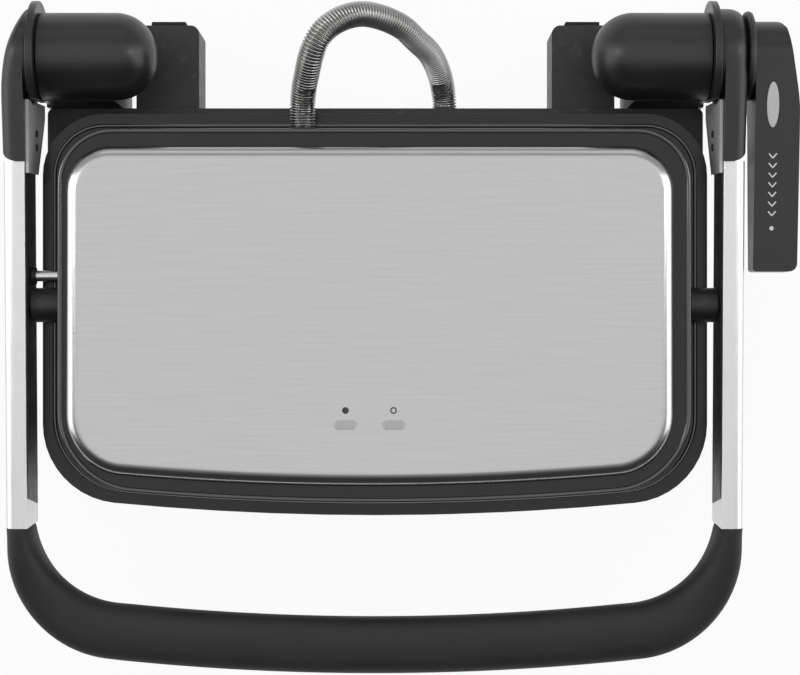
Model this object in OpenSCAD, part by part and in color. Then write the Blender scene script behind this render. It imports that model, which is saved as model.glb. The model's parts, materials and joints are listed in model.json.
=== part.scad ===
// Sandwich toaster: a contact press whose lid floats between the two arms of a lifting handle.
// Millimetres, +Z up, front towards -Y. The design frame has X = 0 on the symmetry plane and
// Y = 0 on the lid's pivots; place() then puts the origin at the bottom centre of the whole part.

/* [Lid] */
// Width of the lid over its lower flange
lid_w = 301; // [285:1:320]
// Reach of the lid behind its pivots
lid_back = 87; // [80:1:92]
// Reach of the lid in front of its pivots, at the middle of the bowed front
lid_front = 95; // [88:1:100]
// Radius of the bowed front edge
bow_r = 1250; // [900:10:2000]
// Radius of the flange's rear corners
lid_back_r = 28; // [20:1:34]
// Radius of the flange's front corners
lid_front_r = 36; // [26:1:40]
// Height of the lower flange
flange_h = 7; // [5:0.5:9]
// Height of the lid's black wall, from the flange's underside to the top of the band
lid_h = 32; // [30:0.5:36]
// Set-back of the raised wall from the flange at the sides
ledge_side = 11; // [9:0.5:13]
// Set-back of the raised wall from the flange at the rear
ledge_back = 9.3; // [8:0.1:12]
// Set-back of the raised wall from the flange at the front
ledge_front = 7.7; // [6:0.1:10]
// Wall thickness of the lid shell
lid_wall = 2.5; // [2:0.1:3]
// Width of the small step round the top of the raised wall
top_step = 1.3; // [0.8:0.1:2]

/* [Steel skin] */
// Black band left showing beside the skin
band_side = 6; // [5:0.5:9]
// Black band left showing behind the skin
band_back = 8; // [6:0.5:10]
// Black band left showing in front of the skin
band_front = 7.5; // [6:0.5:14]
// How far the skin and its lamps sit to the left of the lid's middle
skin_off = 2; // [0:0.5:3]
// Height of the pressed steel skin
skin_h = 6; // [4.5:0.5:8]
// Sheet thickness of the skin
skin_t = 1; // [0.8:0.1:1.5]
// Radius of the skin's rolled edge
skin_roll = 4; // [3:0.5:5]

/* [Lamps] */
// Length of each lamp window
lamp_l = 10; // [8:0.5:13]
// Width of each lamp window
lamp_w = 4; // [3:0.2:5]
// Distance between the two lamp windows
lamp_pitch = 21; // [16:0.5:30]
// Distance of the lamp windows from the skin's front edge
lamp_inset = 27; // [14:0.5:35]

/* [Cooking plates] */
// Thickness of each cooking plate
plate_t = 4; // [3:0.5:5]
// Gap between the lower plate and the tips of the upper plate's ribs
plate_gap = 6; // [5.5:0.1:8]
// Height of the upper plate's ribs
rib_h = 2; // [1:0.2:3]
// Width of each rib
rib_w = 4; // [3:0.5:6]
// Distance from one rib to the next
rib_pitch = 12; // [9:0.5:16]
// Radius of the heating elements' tube
element_r = 3.3; // [2.5:0.1:4]

/* [Base] */
// Height of the base's top deck above the table
deck_z = 52; // [46:1:56]
// How far the base reaches behind the lid
base_lip = 3.8; // [2:0.2:5]
// How far the base's front stays behind the lid's front
base_tuck = 5; // [2:0.5:10]
// Radius of the base's rear corners
base_back_r = 3; // [2:0.5:8]
// Wall thickness of the base housing
base_wall = 2.5; // [2:0.1:3]
// Height of the rubber feet that shows under the base
foot_h = 6; // [4:0.5:8]
// Radius of the rubber feet
foot_r = 9; // [7:0.5:11]
// Thickness of the base pan
pan_t = 2; // [1.5:0.1:3]

/* [Storage posts] */
// Width of each storage post
post_w = 29; // [26:1:33]
// Reach of each storage post behind the base
post_d = 39; // [30:1:41]
// Height of each storage post's top above the table
post_z = 46; // [38:1:50]
// Space between each post and the tower beside it
post_gap = 5.2; // [4:0.2:12]

/* [Hinge] */
// Height of the handle's hinge axis above the table
axis_z = 82; // [80:0.5:86]
// Distance of the hinge axis behind the lid's rear edge
axis_gap = 23.4; // [22:0.2:28]
// Radius of the round hinge barrels
barrel_r = 19.3; // [17:0.1:20.5]
// Length of each hinge barrel, with its rounded end
barrel_l = 51; // [44:1:54]
// Width of the foot that carries each barrel
tower_w = 32; // [26:1:34]
// Radius of the barrel's rounded end
dome_r = 18; // [10:0.5:18.5]
// Radius of the hinge shafts
shaft_r = 6; // [5:0.25:7]
// Radius of the discs beside the barrels
disc_r = 24.5; // [22:0.5:26]
// Thickness of the discs beside the barrels, with the part hidden under the caps
disc_t = 5; // [3:0.5:6]
// How far the caps' round heads reach in over the discs
head_in = 1.7; // [0.5:0.1:2.2]

/* [Handle] */
// Gap between the lid's flange and the arms
arm_gap = 2.7; // [2.2:0.1:4]
// Width of the arms
arm_w = 9; // [8:0.5:11]
// Height of the arms
arm_h = 28; // [24:1:30]
// Downward slope of the arms towards the front, degrees
arm_slope = 2.3; // [1.5:0.1:2.8]
// Length of the black rear caps, from the hinge axis
cap_l = 47; // [42:1:60]
// Radius of the caps round the hinge
cap_r = 21; // [19:0.5:23]
// How far the caps stand proud of the bright sleeves
cap_proud = 1.3; // [0.5:0.1:2]
// Gap for the fingers between the lid's front and the grip
finger_gap = 45; // [38:1:60]
// Depth of the grip across the front, front to back
grip_d = 25.3; // [20:0.5:30]
// Height of the grip across the front
grip_h = 20; // [16:0.5:24]
// Radius of the grip's inner corners
grip_in_r = 42; // [36:0.5:46]
// Radius of the grip's outer corners
grip_out_r = 30; // [26:0.5:34]
// Radius of the grip's bowed middle line
grip_bow_r = 1100; // [800:10:2000]
// How far the inner corners run back beyond the ends of the grip
grip_end = 6.4; // [4:0.2:9]

/* [Lid pivots] */
// Radius of the pivot pins
pivot_r = 4; // [3:0.25:5]
// Radius of the black bosses round the pivot pins
boss_r = 7.7; // [6.5:0.1:8.2]
// Tilt of the floating lid each way, degrees
float_angle = 3; // [1:0.25:3]
// Radius of the bright stop pin
stop_r = 2.5; // [2:0.1:3]
// Distance of the stop pin behind the left pivot
stop_back = 13; // [12.5:0.1:14]

/* [Lock lever] */
// Width of the lever
lever_w = 19.6; // [18:0.2:25]
// Reach of the lever in front of the hinge axis
lever_l = 95.7; // [80:0.1:110]
// Radius of the lever round the hinge axis
lever_r = 15.4; // [13:0.1:17]
// Gap between the right arm and the lever
lever_gap = 3.9; // [2:0.1:5]
// Thickness of the lever at its front end
lever_tip = 13; // [10:0.5:16]
// Wall thickness of the lever
lever_wall = 2.2; // [1.8:0.1:3]

/* [Conduit] */
// Radius of the ribbed conduit over its ribs
hose_r = 5.7; // [5:0.1:6.2]
// Depth of the ribs
hose_rib = 0.8; // [0.4:0.1:1]
// Wall thickness under the ribs
hose_wall = 0.8; // [0.5:0.1:1.2]
// Number of ribs along the conduit
hose_ribs = 115; // [60:1:190]

/* [Cord inlet] */
// Bore radius of the cord gland
gland_r = 3.6; // [3:0.1:4.5]
// Length of the cord gland
gland_l = 14; // [10:0.5:20]

/* [Hidden] */

$fn = 64;
eps = 0.01;         // overlap of a cut with the face it starts from
fit = 0.05;         // radial clearance of fixed pins and running shafts
gap = 0.4;          // clearance between pieces that pass each other
seat = 0.3;         // clearance between pieces that only lie beside each other
dip = 0.1;          // how far a straight flank runs into the round it leaves

// An outline is [half width, back, front, back corner radius, front corner radius, bow radius].
function inset(s, d) = [s[0] - d, s[1] - d, s[2] + d, max(s[3] - d, 0.5), s[4] - d, s[5] - d];

plate_rim = 3;      // height of the lower plate's face above the deck
rib_skirt = 1;      // how far the lid's flange hangs below the ribs' tips
lid_z = deck_z + plate_rim + plate_gap - rib_skirt;
lid_top = lid_z + lid_h;
flange_top = lid_z + flange_h;
flange_shape = [lid_w / 2, lid_back, -lid_front, lid_back_r, lid_front_r, bow_r];
wall_shape = [
    lid_w / 2 - ledge_side, lid_back - ledge_back, -lid_front + ledge_front,
    lid_back_r - 4, lid_front_r - 4, bow_r
];
skin_shape = [
    wall_shape[0] - band_side, wall_shape[1] - band_back, wall_shape[2] + band_front,
    wall_shape[3] - 4, wall_shape[4] - 8, bow_r
];
plate_shape = inset(wall_shape, lid_wall + gap);
base_shape = [
    lid_w / 2, lid_back + base_lip, -lid_front + base_tuck,
    base_back_r, lid_front_r, bow_r
];
base_back = base_shape[1];
lower_face = deck_z + plate_rim;
rib_tip = lower_face + plate_gap;
upper_back = rib_tip + rib_h + plate_t;
lower_back = lower_face - plate_t - 1;

pillar_x = wall_shape[0] - 26;
pillar_back = wall_shape[1] - 18;
pillar_front = wall_shape[2] + 27;
pillar_r = 5;
shoulder_r = 6.5;
screw_r = 1.6;
screw_head_r = 3.2;
screw_head_h = 2.2;

lamp_y = skin_shape[2] + lamp_inset;
lamp_r = 2;
lamp_border = 1;    // how far the lenses' feet reach round their windows
rim_step = 5;       // width of the low step round the flange
rim_h = 2;

element_y = 34;     // distance of each run from the element's middle line
element_mid = -4;   // the element's middle line
element_x = wall_shape[0] - 62;
upper_terminal = 15;
lower_terminal = 18;
sheet_t = 0.8;      // thickness of the reflectors
upper_sheet = 11;   // height of the upper reflector over the plate's back
lower_sheet = 14;   // depth of the lower reflector below the deck

axis_y = lid_back + axis_gap;
arm_in = lid_w / 2 + arm_gap;
arm_out = arm_in + arm_w;
cap_out = arm_out + cap_proud;
arm_wall = 1.8;     // wall of the bright sleeves
strip_t = 2;        // thickness of the black strips inside the arms
bar_t = 4;          // thickness of the steel bars inside the arms
bar_h = 14;
bar_in = arm_in + strip_t + seat;
bar_mid = bar_in + bar_t / 2;
bush_r = shaft_r + 2.5;
disc_in = arm_in - disc_t;
barrel_out = disc_in - 0.5;
tower_x = barrel_out - tower_w;
tower_z = 20;       // height of the towers' lower end
tower_back = 12;    // reach of the towers' feet behind the hinge axis
tower_wall = 3;
flare_top = axis_z - disc_r - 1.5;
flare_d = 6;        // depth of the towers' root, which is as wide as the base
shaft_start = barrel_out - barrel_l + dome_r + 8;
disc_cut = barrel_r + 0.2;  // distance of the discs' flat front from the axis
bush_cover = 2.2;   // set-back of the right bush from the right cap's outer face
shaft_cover = 5.8;  // plastic left over the end of the left bush
post_x = tower_x - post_gap - post_w / 2;
post_base = 14;     // height of the posts' lower end
post_wall = 3;
pad_w = 16;
pad_t = 2.3;
sweep_x = 9.4;      // sweep of the left cap's outer face towards the rear
sweep_y = 40;

pivot_y = -axis_y / cos(arm_slope);             // in the arm frame
pivot_z = axis_z - axis_y * tan(arm_slope);     // in the design frame
stop_y = pivot_y + stop_back;
stop_z = pivot_z + stop_back * sin(arm_slope);
stop_swing = stop_back * sin(float_angle) + gap;

grip_back = -(axis_y + lid_front + finger_gap) / cos(arm_slope);
grip_front = grip_back - grip_d;
grip_mid = (grip_back + grip_front) / 2;
grip_x = arm_in + arm_w / 2;
function grip_bow(x) = grip_mid + pow(x, 2) / (2 * grip_bow_r);
in_lean = asin((arm_in - grip_in_r) / grip_bow_r);
out_lean = asin((arm_out - grip_out_r) / grip_bow_r);
in_run_x = grip_in_r - arm_in - grip_in_r * sin(in_lean);
out_run_x = grip_out_r - arm_out - grip_out_r * sin(out_lean);
grip_in_at = [grip_in_r - arm_in, grip_bow(in_run_x) + grip_d / 2 + grip_in_r * cos(in_lean)];
grip_out_at = [grip_out_r - arm_out, grip_bow(out_run_x) - grip_d / 2 + grip_out_r * cos(out_lean)];
sleeve_end = grip_in_at[1] - grip_end;
strip_end = sleeve_end + 8;
strip_slant = 5;    // how much farther back the strips end at their tops
bar_end = sleeve_end - 9;

lever_in = cap_out + lever_gap;
lever_out = lever_in + lever_w;

gland_x = -58;
gland_z = 24;
gland_wall = 3;
flange_t = 2;       // thickness of the gland's flange and nut
thermostat_x = 30;
thermostat_r = 9;
thermostat_l = 16;
block_w = 36;
block_d = 14;
block_h = 12;
block_back = 45;    // distance of the terminal block from the base's rear face
hose_bore = hose_r - hose_rib - hose_wall;
hose_x = 32;
hose_base_z = 40;
hose_lid_z = lid_z + 20;
hose_mid = [
    [30.4, 104.6, 44.5], [28, 110.5, 51], [24.5, 115.5, 59], [18.6, 119.8, 68],
    [12.5, 124.3, 76], [4.4, 127.2, 83], [-4.6, 128.3, 89], [-13.1, 126.1, 93.5],
    [-20.4, 121.5, 96], [-25, 115.7, 96.5], [-27.8, 109, 94], [-30, 101, 88], [-31.3, 95.5, 84]
];

shift = [-(lever_out - cap_out) / 2, -(axis_y + disc_r + axis_y + grip_front * cos(arm_slope)) / 2, 0];

// ---------------------------------------------------------------- frames and shared shapes

module place() {
    translate(shift)
        children();
}

// Frame of the handle: origin on the hinge axis, sloping with the arms.
module arm_frame() {
    translate([0, axis_y, axis_z])
        rotate([arm_slope, 0, 0])
            children();
}

// Builds the right-hand piece, or its mirror image on the left for side = -1.
module sided(side) {
    mirror([side < 0 ? 1 : 0, 0, 0])
        children();
}

// Extrudes a side view, drawn as (Y, Z), from x0 to x1.
module slab(x0, x1) {
    translate([x0, 0, 0])
        rotate([90, 0, 90])
            linear_extrude(x1 - x0)
                children();
}

// Cylinder along X from x0 to x1.
module rod(r, x0, x1) {
    translate([x0, 0, 0])
        rotate([0, 90, 0])
            cylinder(r = r, h = x1 - x0);
}

// Rounded rectangle with its lower left corner at the origin.
module round_rect(w, d, r) {
    translate([r, 0])
        square([w - 2 * r, d]);
    translate([0, r])
        square([w, d - 2 * r]);
    for (x = [r, w - r], y = [r, d - r])
        translate([x, y])
            circle(r);
}

// Slot with round ends, centred on the origin, long side along X.
module obround(l, w) {
    square([l - w, w], center = true);
    for (x = [-1, 1] * (l - w) / 2)
        translate([x, 0])
            circle(w / 2);
}

// Points of an arc about c, from angle a to angle b in n steps.
function arc(c, r, a, b, n) =
    [for (i = [0:n]) let (t = a + (b - a) * i / n) c + r * [cos(t), sin(t)]];

// Plan outline with round corners and a bowed front that runs tangent into the front corners.
module outline(s) {
    bow_y = s[2] + s[5];
    corner_x = s[0] - s[4];
    corner_y = bow_y - sqrt(pow(s[5] - s[4], 2) - pow(corner_x, 2));
    lean = asin(corner_x / (s[5] - s[4]));
    polygon(concat(
        arc([s[0] - s[3], s[1] - s[3]], s[3], 0, 90, 10),
        arc([s[3] - s[0], s[1] - s[3]], s[3], 90, 180, 10),
        arc([-corner_x, corner_y], s[4], 180, 270 - lean, 10),
        arc([0, bow_y], s[5], 270 - lean * 0.9, 270 + lean * 0.9, 18),
        arc([corner_x, corner_y], s[4], 270 + lean, 360, 10)
    ));
}

module layer(s, z0, z1) {
    translate([0, 0, z0])
        linear_extrude(z1 - z0)
            outline(s);
}

// Copies its children to the four pillars that carry a cooking plate.
module at_pillars() {
    for (x = [-1, 1] * pillar_x, y = [pillar_back, pillar_front])
        translate([x, y, 0])
            children();
}

// Tubular heating element: two runs, one bend and two upright terminals, on the plane z = 0.
module element(run_x, run_y, terminal_h) {
    for (y = [-run_y, run_y])
        translate([0, y, 0]) {
            rod(element_r, -run_x, run_x);
            translate([-run_x, 0, 0])
                cylinder(r = element_r, h = terminal_h);
        }
    translate([run_x, 0, 0])
        rotate([0, 0, -90])
            rotate_extrude(angle = 180)
                translate([run_y, 0])
                    circle(element_r);
}

// ---------------------------------------------------------------- base

module base_housing() {
    color("#2e2e2e") place() difference() {
        union() {
            layer(inset(base_shape, 2), foot_h, foot_h + 4);
            layer(base_shape, foot_h + 4, deck_z);
        }
        layer(inset(base_shape, 2 + base_wall), foot_h - eps, foot_h + 4);
        layer(inset(base_shape, base_wall), foot_h + 4 - eps, deck_z - base_wall);
        layer(inset(plate_shape, 3), deck_z - base_wall - eps, deck_z + eps);
        translate([hose_x, base_back - base_wall - 3, hose_base_z])
            rotate([-90, 0, 0])
                cylinder(r = hose_r + fit, h = base_wall + 6);
        translate([gland_x, base_back - base_wall - 3, gland_z])
            rotate([-90, 0, 0])
                cylinder(r = gland_r + gland_wall, h = base_wall + 6);
    }
}

module base_pan() {
    color("#3c3c3c") place() difference() {
        layer(inset(base_shape, 2 + base_wall + seat), foot_h, foot_h + pan_t);
        at_pillars()
            translate([0, 0, foot_h - eps])
                cylinder(r = screw_r + seat, h = pan_t + 2 * eps);
    }
}

module base_screws() {
    color("silver") place() at_pillars() {
        translate([0, 0, foot_h - screw_head_h])
            cylinder(r = screw_head_r, h = screw_head_h);
        translate([0, 0, foot_h - eps])
            cylinder(r = screw_r, h = pan_t + 12);
    }
}

module feet(y) {
    color("#1c1c1c") place() for (x = [-1, 1] * (pillar_x + screw_head_r + foot_r + seat))
        translate([x, y, 0])
            cylinder(r = foot_r, h = foot_h);
}

module lower_plate() {
    color("#3a3a3c") place() difference() {
        union() {
            layer(plate_shape, deck_z, lower_face);
            layer(inset(plate_shape, 3 + seat), lower_back, deck_z + eps);
            at_pillars() {
                translate([0, 0, foot_h + pan_t])
                    cylinder(r = pillar_r, h = deck_z - foot_h - pan_t);
                translate([0, 0, deck_z - lower_sheet])
                    cylinder(r = shoulder_r, h = lower_sheet);
            }
        }
        at_pillars()
            translate([0, 0, foot_h + pan_t - eps])
                cylinder(r = screw_r + fit, h = 12.5);
    }
}

module lower_element() {
    color("silver") place()
        translate([0, element_mid, lower_back - element_r - eps])
            mirror([0, 0, 1])
                element(element_x, element_y, lower_terminal);
}

// Bright sheet at height z, pierced for the pillars and the element's terminals.
module reflector(z) {
    difference() {
        layer(inset(plate_shape, 6), z, z + sheet_t);
        at_pillars()
            translate([0, 0, z - eps])
                cylinder(r = pillar_r + seat, h = 1);
        for (y = [-1, 1] * element_y)
            translate([-element_x, element_mid + y, z - eps])
                cylinder(r = element_r + 2, h = 1);
    }
}

module lower_reflector() {
    z = deck_z - lower_sheet - sheet_t;
    color("#b8b8b8") place() difference() {
        reflector(z);
        translate([thermostat_x, 0, z - eps])
            cylinder(r = thermostat_r + 3, h = 1);
    }
}

module thermostat() {
    color("#d8d4c8") place() translate([thermostat_x, 0, lower_back - thermostat_l]) {
        cylinder(r = thermostat_r, h = thermostat_l);
        translate([-3, -thermostat_r - 3, 5])
            cube([6, 2 * thermostat_r + 6, 1]);
    }
}

module terminal_block() {
    color("#e6e2d6") place()
        translate([gland_x - block_w / 3, base_back - block_back, foot_h + pan_t])
            difference() {
                cube([block_w, block_d, block_h]);
                for (k = [0:2])
                    translate([block_w * (2 + 3 * k) / 10, -1, block_h / 2])
                        rotate([-90, 0, 0])
                            cylinder(r = 2, h = block_d + 2);
            }
}

module cord_gland() {
    color("#1c1c1c") place() translate([gland_x, base_back, gland_z]) rotate([-90, 0, 0])
        difference() {
            union() {
                translate([0, 0, flange_t - gland_l])
                    cylinder(r = gland_r + gland_wall - fit, h = gland_l);
                cylinder(r = gland_r + gland_wall + 2, h = flange_t);
                translate([0, 0, -base_wall - flange_t])
                    cylinder(r = gland_r + gland_wall + 1.4, h = flange_t);
            }
            translate([0, 0, flange_t - 1 - gland_l])
                cylinder(r = gland_r, h = gland_l + 2);
        }
}

module storage_post(side) {
    color("#2b2b2b") place() sided(side) translate([post_x - post_w / 2, base_back, post_base])
        difference() {
            linear_extrude(post_z - post_base) {
                translate([0, post_d / 2])
                    round_rect(post_w, post_d / 2, 4);
                square([post_w, post_d * 0.75]);
            }
            translate([post_wall, post_wall, -eps])
                cube([
                    post_w - 2 * post_wall, post_d - 2 * post_wall,
                    post_z - post_base - post_wall
                ]);
        }
}

module storage_pads() {
    color("#1c1c1c") place() for (side = [-1, 1])
        sided(side)
            translate([post_x - pad_w / 2, base_back + post_d, post_base + 6])
                cube([pad_w, pad_t, post_z - post_base - 10]);
}

// ---------------------------------------------------------------- hinge

// Round barrel with a domed inner end, on a foot that is fixed to the back of the base.
module hinge_tower(side) {
    color("#2b2b2b") place() sided(side) difference() {
        union() {
            translate([barrel_out - barrel_l, axis_y, axis_z])
                rotate([0, 90, 0])
                    rotate_extrude() {
                        translate([0, dome_r])
                            square([barrel_r, barrel_l - dome_r]);
                        square([barrel_r - dome_r, dome_r + eps]);
                        intersection() {
                            translate([barrel_r - dome_r, dome_r])
                                circle(dome_r);
                            square([barrel_r, dome_r + eps]);
                        }
                    }
            translate([tower_x, base_back, tower_z])
                cube([tower_w, axis_y + tower_back - base_back, axis_z - tower_z]);
            translate([tower_x, base_back, tower_z])
                cube([lid_w / 2 - tower_x - seat, flare_d, flare_top - tower_z]);
        }
        translate([0, axis_y, axis_z])
            rod(shaft_r + fit, shaft_start, barrel_out + 1);
        translate([tower_x + tower_wall, base_back + tower_wall, tower_z - eps])
            cube([
                tower_w - 2 * tower_wall, axis_y + tower_back - base_back - 2 * tower_wall,
                axis_z - barrel_r - tower_z - 2
            ]);
    }
}

module hinge_shaft(side) {
    tip = side > 0 ? lever_out - 7 : cap_out - shaft_cover - seat;
    color("silver") place() sided(side)
        translate([0, axis_y, axis_z])
            rod(shaft_r, shaft_start, tip);
}

module hinge_disc(side) {
    color("#333333") place() sided(side) arm_frame() difference() {
        rod(disc_r, disc_in, arm_in - head_in);
        translate([disc_in - 1, -disc_r - 1, -disc_r - 1])
            cube([disc_t + 2, disc_r + 1 - disc_cut, 2 * disc_r + 2]);
        rod(bush_r + fit, disc_in - 1, arm_in + 1);
    }
}

module hinge_bush(side) {
    color("#c9a15a") place() sided(side) arm_frame() difference() {
        rod(bush_r, disc_in, cap_out - (side > 0 ? bush_cover : shaft_cover));
        rod(shaft_r + fit, disc_in - 1, cap_out);
    }
}

// ---------------------------------------------------------------- handle

// Side view of a black rear cap: round at the hinge, tapering into the arm.
module cap_side(r, h, l) {
    corner = [-l, h / 2];
    touch = atan2(corner[1], corner[0]) - acos(r / norm(corner));
    circle(r);
    polygon([
        [0, 0], (r - dip) * [cos(touch), sin(touch)], corner,
        [-l, -h / 2], (r - dip) * [cos(touch), -sin(touch)]
    ]);
}

// What is cut from the left cap, whose outer face sweeps inwards at the rear.
module cap_sweep() {
    translate([0, 0, -cap_r - 1])
        linear_extrude(2 * cap_r + 2)
            polygon(concat(
                [[cap_out + 1, cap_r + 1], [cap_out - sweep_x, cap_r + 1]],
                [for (t = [1:-0.1:0]) [cap_out - sweep_x * t * t, cap_r - sweep_y * (1 - t)]],
                [[cap_out + 1, cap_r - sweep_y]]
            ));
}

module arm_cap(side) {
    color("#303030") place() sided(side) arm_frame() difference() {
        union() {
            slab(arm_in, cap_out)
                cap_side(cap_r, arm_h + 2 * cap_proud, cap_l);
            rod(cap_r, arm_in - head_in, arm_in + eps);
        }
        rod(bush_r + fit, arm_in - head_in - 1, side > 0 ? cap_out + 1 : cap_out - shaft_cover);
        if (side < 0)
            cap_sweep();
        translate([bar_in - seat, -cap_l - 1, -bar_h / 2 - seat])
            cube([bar_t + 2 * seat, cap_l + 1, bar_h + 2 * seat]);
        translate([arm_in - 1, -cap_l - 1, -arm_h / 2 + arm_wall])
            cube([strip_t + 1 + eps, cap_l - disc_r, arm_h - 2 * arm_wall]);
    }
}

module arm_sleeve(side) {
    color("#e4e4e6") place() sided(side) arm_frame() difference() {
        slab(arm_in, arm_out)
            translate([sleeve_end, -arm_h / 2])
                square([-cap_l - sleeve_end, arm_h]);
        slab(arm_in - 1, arm_out - arm_wall)
            strip_side(-cap_l + 1);
        translate([bar_in - seat, sleeve_end - 1, -bar_h / 2 - seat])
            cube([bar_t + 2 * seat, strip_end + strip_slant - sleeve_end + 2, bar_h + 2 * seat]);
    }
}

// Side view of the arms' hollow, whose front end slants back towards its top.
module strip_side(back) {
    half = arm_h / 2 - arm_wall;
    polygon([
        [strip_end, -half], [back, -half], [back, half], [strip_end + strip_slant, half]
    ]);
}

module arm_strip(side) {
    color("#2b2b2b") place() sided(side) arm_frame() difference() {
        translate([0, seat, 0])
            slab(arm_in, arm_in + strip_t)
                strip_side(-disc_r - 1 - seat);
        translate([0, pivot_y, 0])
            rod(pivot_r + fit, arm_in - 1, arm_in + strip_t + 1);
        if (side < 0)
            translate([0, stop_y, 0])
                rod(stop_r + fit, arm_in - 1, arm_in + strip_t + 1);
    }
}

module arm_bar(side) {
    color("#9a9a9e") place() sided(side) arm_frame() difference() {
        translate([bar_in, bar_end, -bar_h / 2])
            cube([bar_t, -bar_end - bush_r - 2, bar_h]);
        translate([0, pivot_y, 0])
            rod(pivot_r + fit, bar_in - 1, bar_in + bar_t + 1);
        if (side < 0)
            translate([0, stop_y, 0])
                rod(stop_r + fit, bar_in - 1, bar_in + bar_t + 1);
    }
}

// Light plate that stiffens the arm's root, on the inner side of the arm.
gusset_t = 1.4;
gusset_bolts = [[-34, -6], [-40, -6]];
module gusset(side) {
    color("#b4b4b4") place() sided(side) arm_frame() difference() {
        slab(arm_in - gusset_t, arm_in)
            polygon([
                [-disc_cut - seat, arm_h / 2 - 1], [-52, arm_h / 2 - 1], [-52, -arm_h / 2 + 2],
                [-26, -arm_h / 2 - 16], [-disc_cut - seat, -arm_h / 2 - 16]
            ]);
        rod(cap_r + seat, 0, arm_in + 1);
        for (bolt = gusset_bolts)
            translate([0, bolt[0], bolt[1]])
                rod(1.1, arm_in - 3, arm_in + 1);
    }
}

module gusset_screws() {
    color("#505050") place() for (side = [-1, 1])
        sided(side) arm_frame()
            for (bolt = gusset_bolts)
                translate([0, bolt[0], bolt[1]])
                    rod(1.7, arm_in - gusset_t - 0.7, arm_in - gusset_t);
}

// Soft grip: an upright blade at each arm that turns into a flat oval across the front.
grip_sides = 20;
grip_turn = 14;     // sections round each corner
grip_run = 12;      // sections along each half of the front
function ease(t) = t * t * (3 - 2 * t);
function grip_inner(a) = grip_in_at + grip_in_r * [cos(a), sin(a)];
// Depth of the grip at an inner point p whose normal is n: to the straight outer side, to the
// round outer corner, or to the bowed front.
function grip_depth(p, n) =
    let (side = (-arm_out - p[0]) / n[0], d = p - grip_out_at, b = d * n,
        corner = sqrt(b * b - d * d + pow(grip_out_r, 2)) - b,
        front_x = p[0] - grip_d * n[0] / n[1],
        front = (p[1] - grip_bow(front_x) + grip_d / 2) / -n[1])
    p[1] + side * n[1] > grip_out_at[1] ? side
        : p[0] + corner * n[0] < out_run_x ? corner : front;
// Stations along the left half: [x, y, heading in degrees, half depth, share of the change
// from the upright blade to the flat oval].
grip_half = concat(
    [[-grip_x, sleeve_end, -90, arm_w / 2 + 0.25, 0]],
    [for (i = [1:grip_turn])
        let (turn = i / grip_turn, start = 180 + asin(grip_end / grip_in_r),
            a = start + turn * (270 - in_lean - start), n = [cos(a), sin(a)],
            p = grip_inner(a), half = grip_depth(p, n) / 2, at = p + half * n)
            [at[0], at[1], a + 90, half, ease(min(1, 1.45 * turn))]],
    [for (i = [1:grip_run])
        let (x = (in_run_x - grip_d / 2 * sin(in_lean)) * (1 - i / grip_run))
            [x, grip_bow(x), asin(x / grip_bow_r), grip_d / 2, 1]]
);
grip_path = concat(
    grip_half,
    [for (i = [len(grip_half) - 2:-1:0])
        let (s = grip_half[i]) [-s[0], s[1], -s[2], s[3], s[4]]]
);
function bulge(v) = sign(v) * pow(abs(v), 0.8);
function grip_ring(s) =
    let (a = s[3], b = (arm_h + 0.6) / 2 + (grip_h - arm_h - 0.6) / 2 * s[4])
    [for (k = [0:grip_sides - 1])
        let (u = a * bulge(cos(360 * k / grip_sides)), v = b * bulge(sin(360 * k / grip_sides)))
            [s[0] - u * sin(s[2]), s[1] + u * cos(s[2]), v]];

// Skins a list of rings of equal length into one closed solid.
module skinned(rings) {
    n = len(rings[0]);
    last = (len(rings) - 1) * n;
    polyhedron(
        points = [for (ring = rings) each ring],
        faces = concat(
            [[for (k = [0:n - 1]) k]],
            [for (i = [0:len(rings) - 2], k = [0:n - 1])
                let (a = i * n + k, b = i * n + (k + 1) % n)
                    each [[a, a + n, b + n], [a, b + n, b]]],
            [[for (k = [n - 1:-1:0]) last + k]]
        )
    );
}

module grip() {
    color("#2d2d2d") place() arm_frame() difference() {
        skinned([for (s = grip_path) grip_ring(s)]);
        for (side = [-1, 1])
            sided(side)
                translate([bar_in - fit, bar_end - seat, -bar_h / 2 - fit])
                    cube([bar_t + 2 * fit, 40, bar_h + 2 * fit]);
    }
}

// ---------------------------------------------------------------- lid pivots

module pivot_pin(side) {
    color("silver") place() sided(side) arm_frame() translate([0, pivot_y, 0]) {
        rod(pivot_r, wall_shape[0] + 2, bar_in + bar_t);
        rod(pivot_r + 1.5, bar_in + bar_t, arm_out - arm_wall - eps);
    }
}

module pivot_boss(side) {
    color("#262626") place() sided(side) translate([0, 0, pivot_z]) difference() {
        rod(boss_r, wall_shape[0], arm_in - gap);
        rod(pivot_r + fit, wall_shape[0] + 1, arm_in + 1);
    }
}

module stop_pin() {
    color("#d0d0d0") place() sided(-1) arm_frame() translate([0, stop_y, 0]) {
        rod(stop_r, wall_shape[0] - 1.5, bar_in + bar_t);
        rod(stop_r + 1, bar_in + bar_t, arm_out - arm_wall - eps);
    }
}

module stop_collar() {
    color("#262626") place() sided(-1) arm_frame() translate([0, stop_y, 0]) difference() {
        rod(stop_r + 1.6, arm_in - 2.2, arm_in);
        rod(stop_r + fit, arm_in - 4, arm_in + 1);
    }
}

// ---------------------------------------------------------------- lid

module at_lamps() {
    for (x = [-1, 1] * lamp_pitch / 2)
        translate([x - skin_off, lamp_y, 0])
            children();
}

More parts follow.
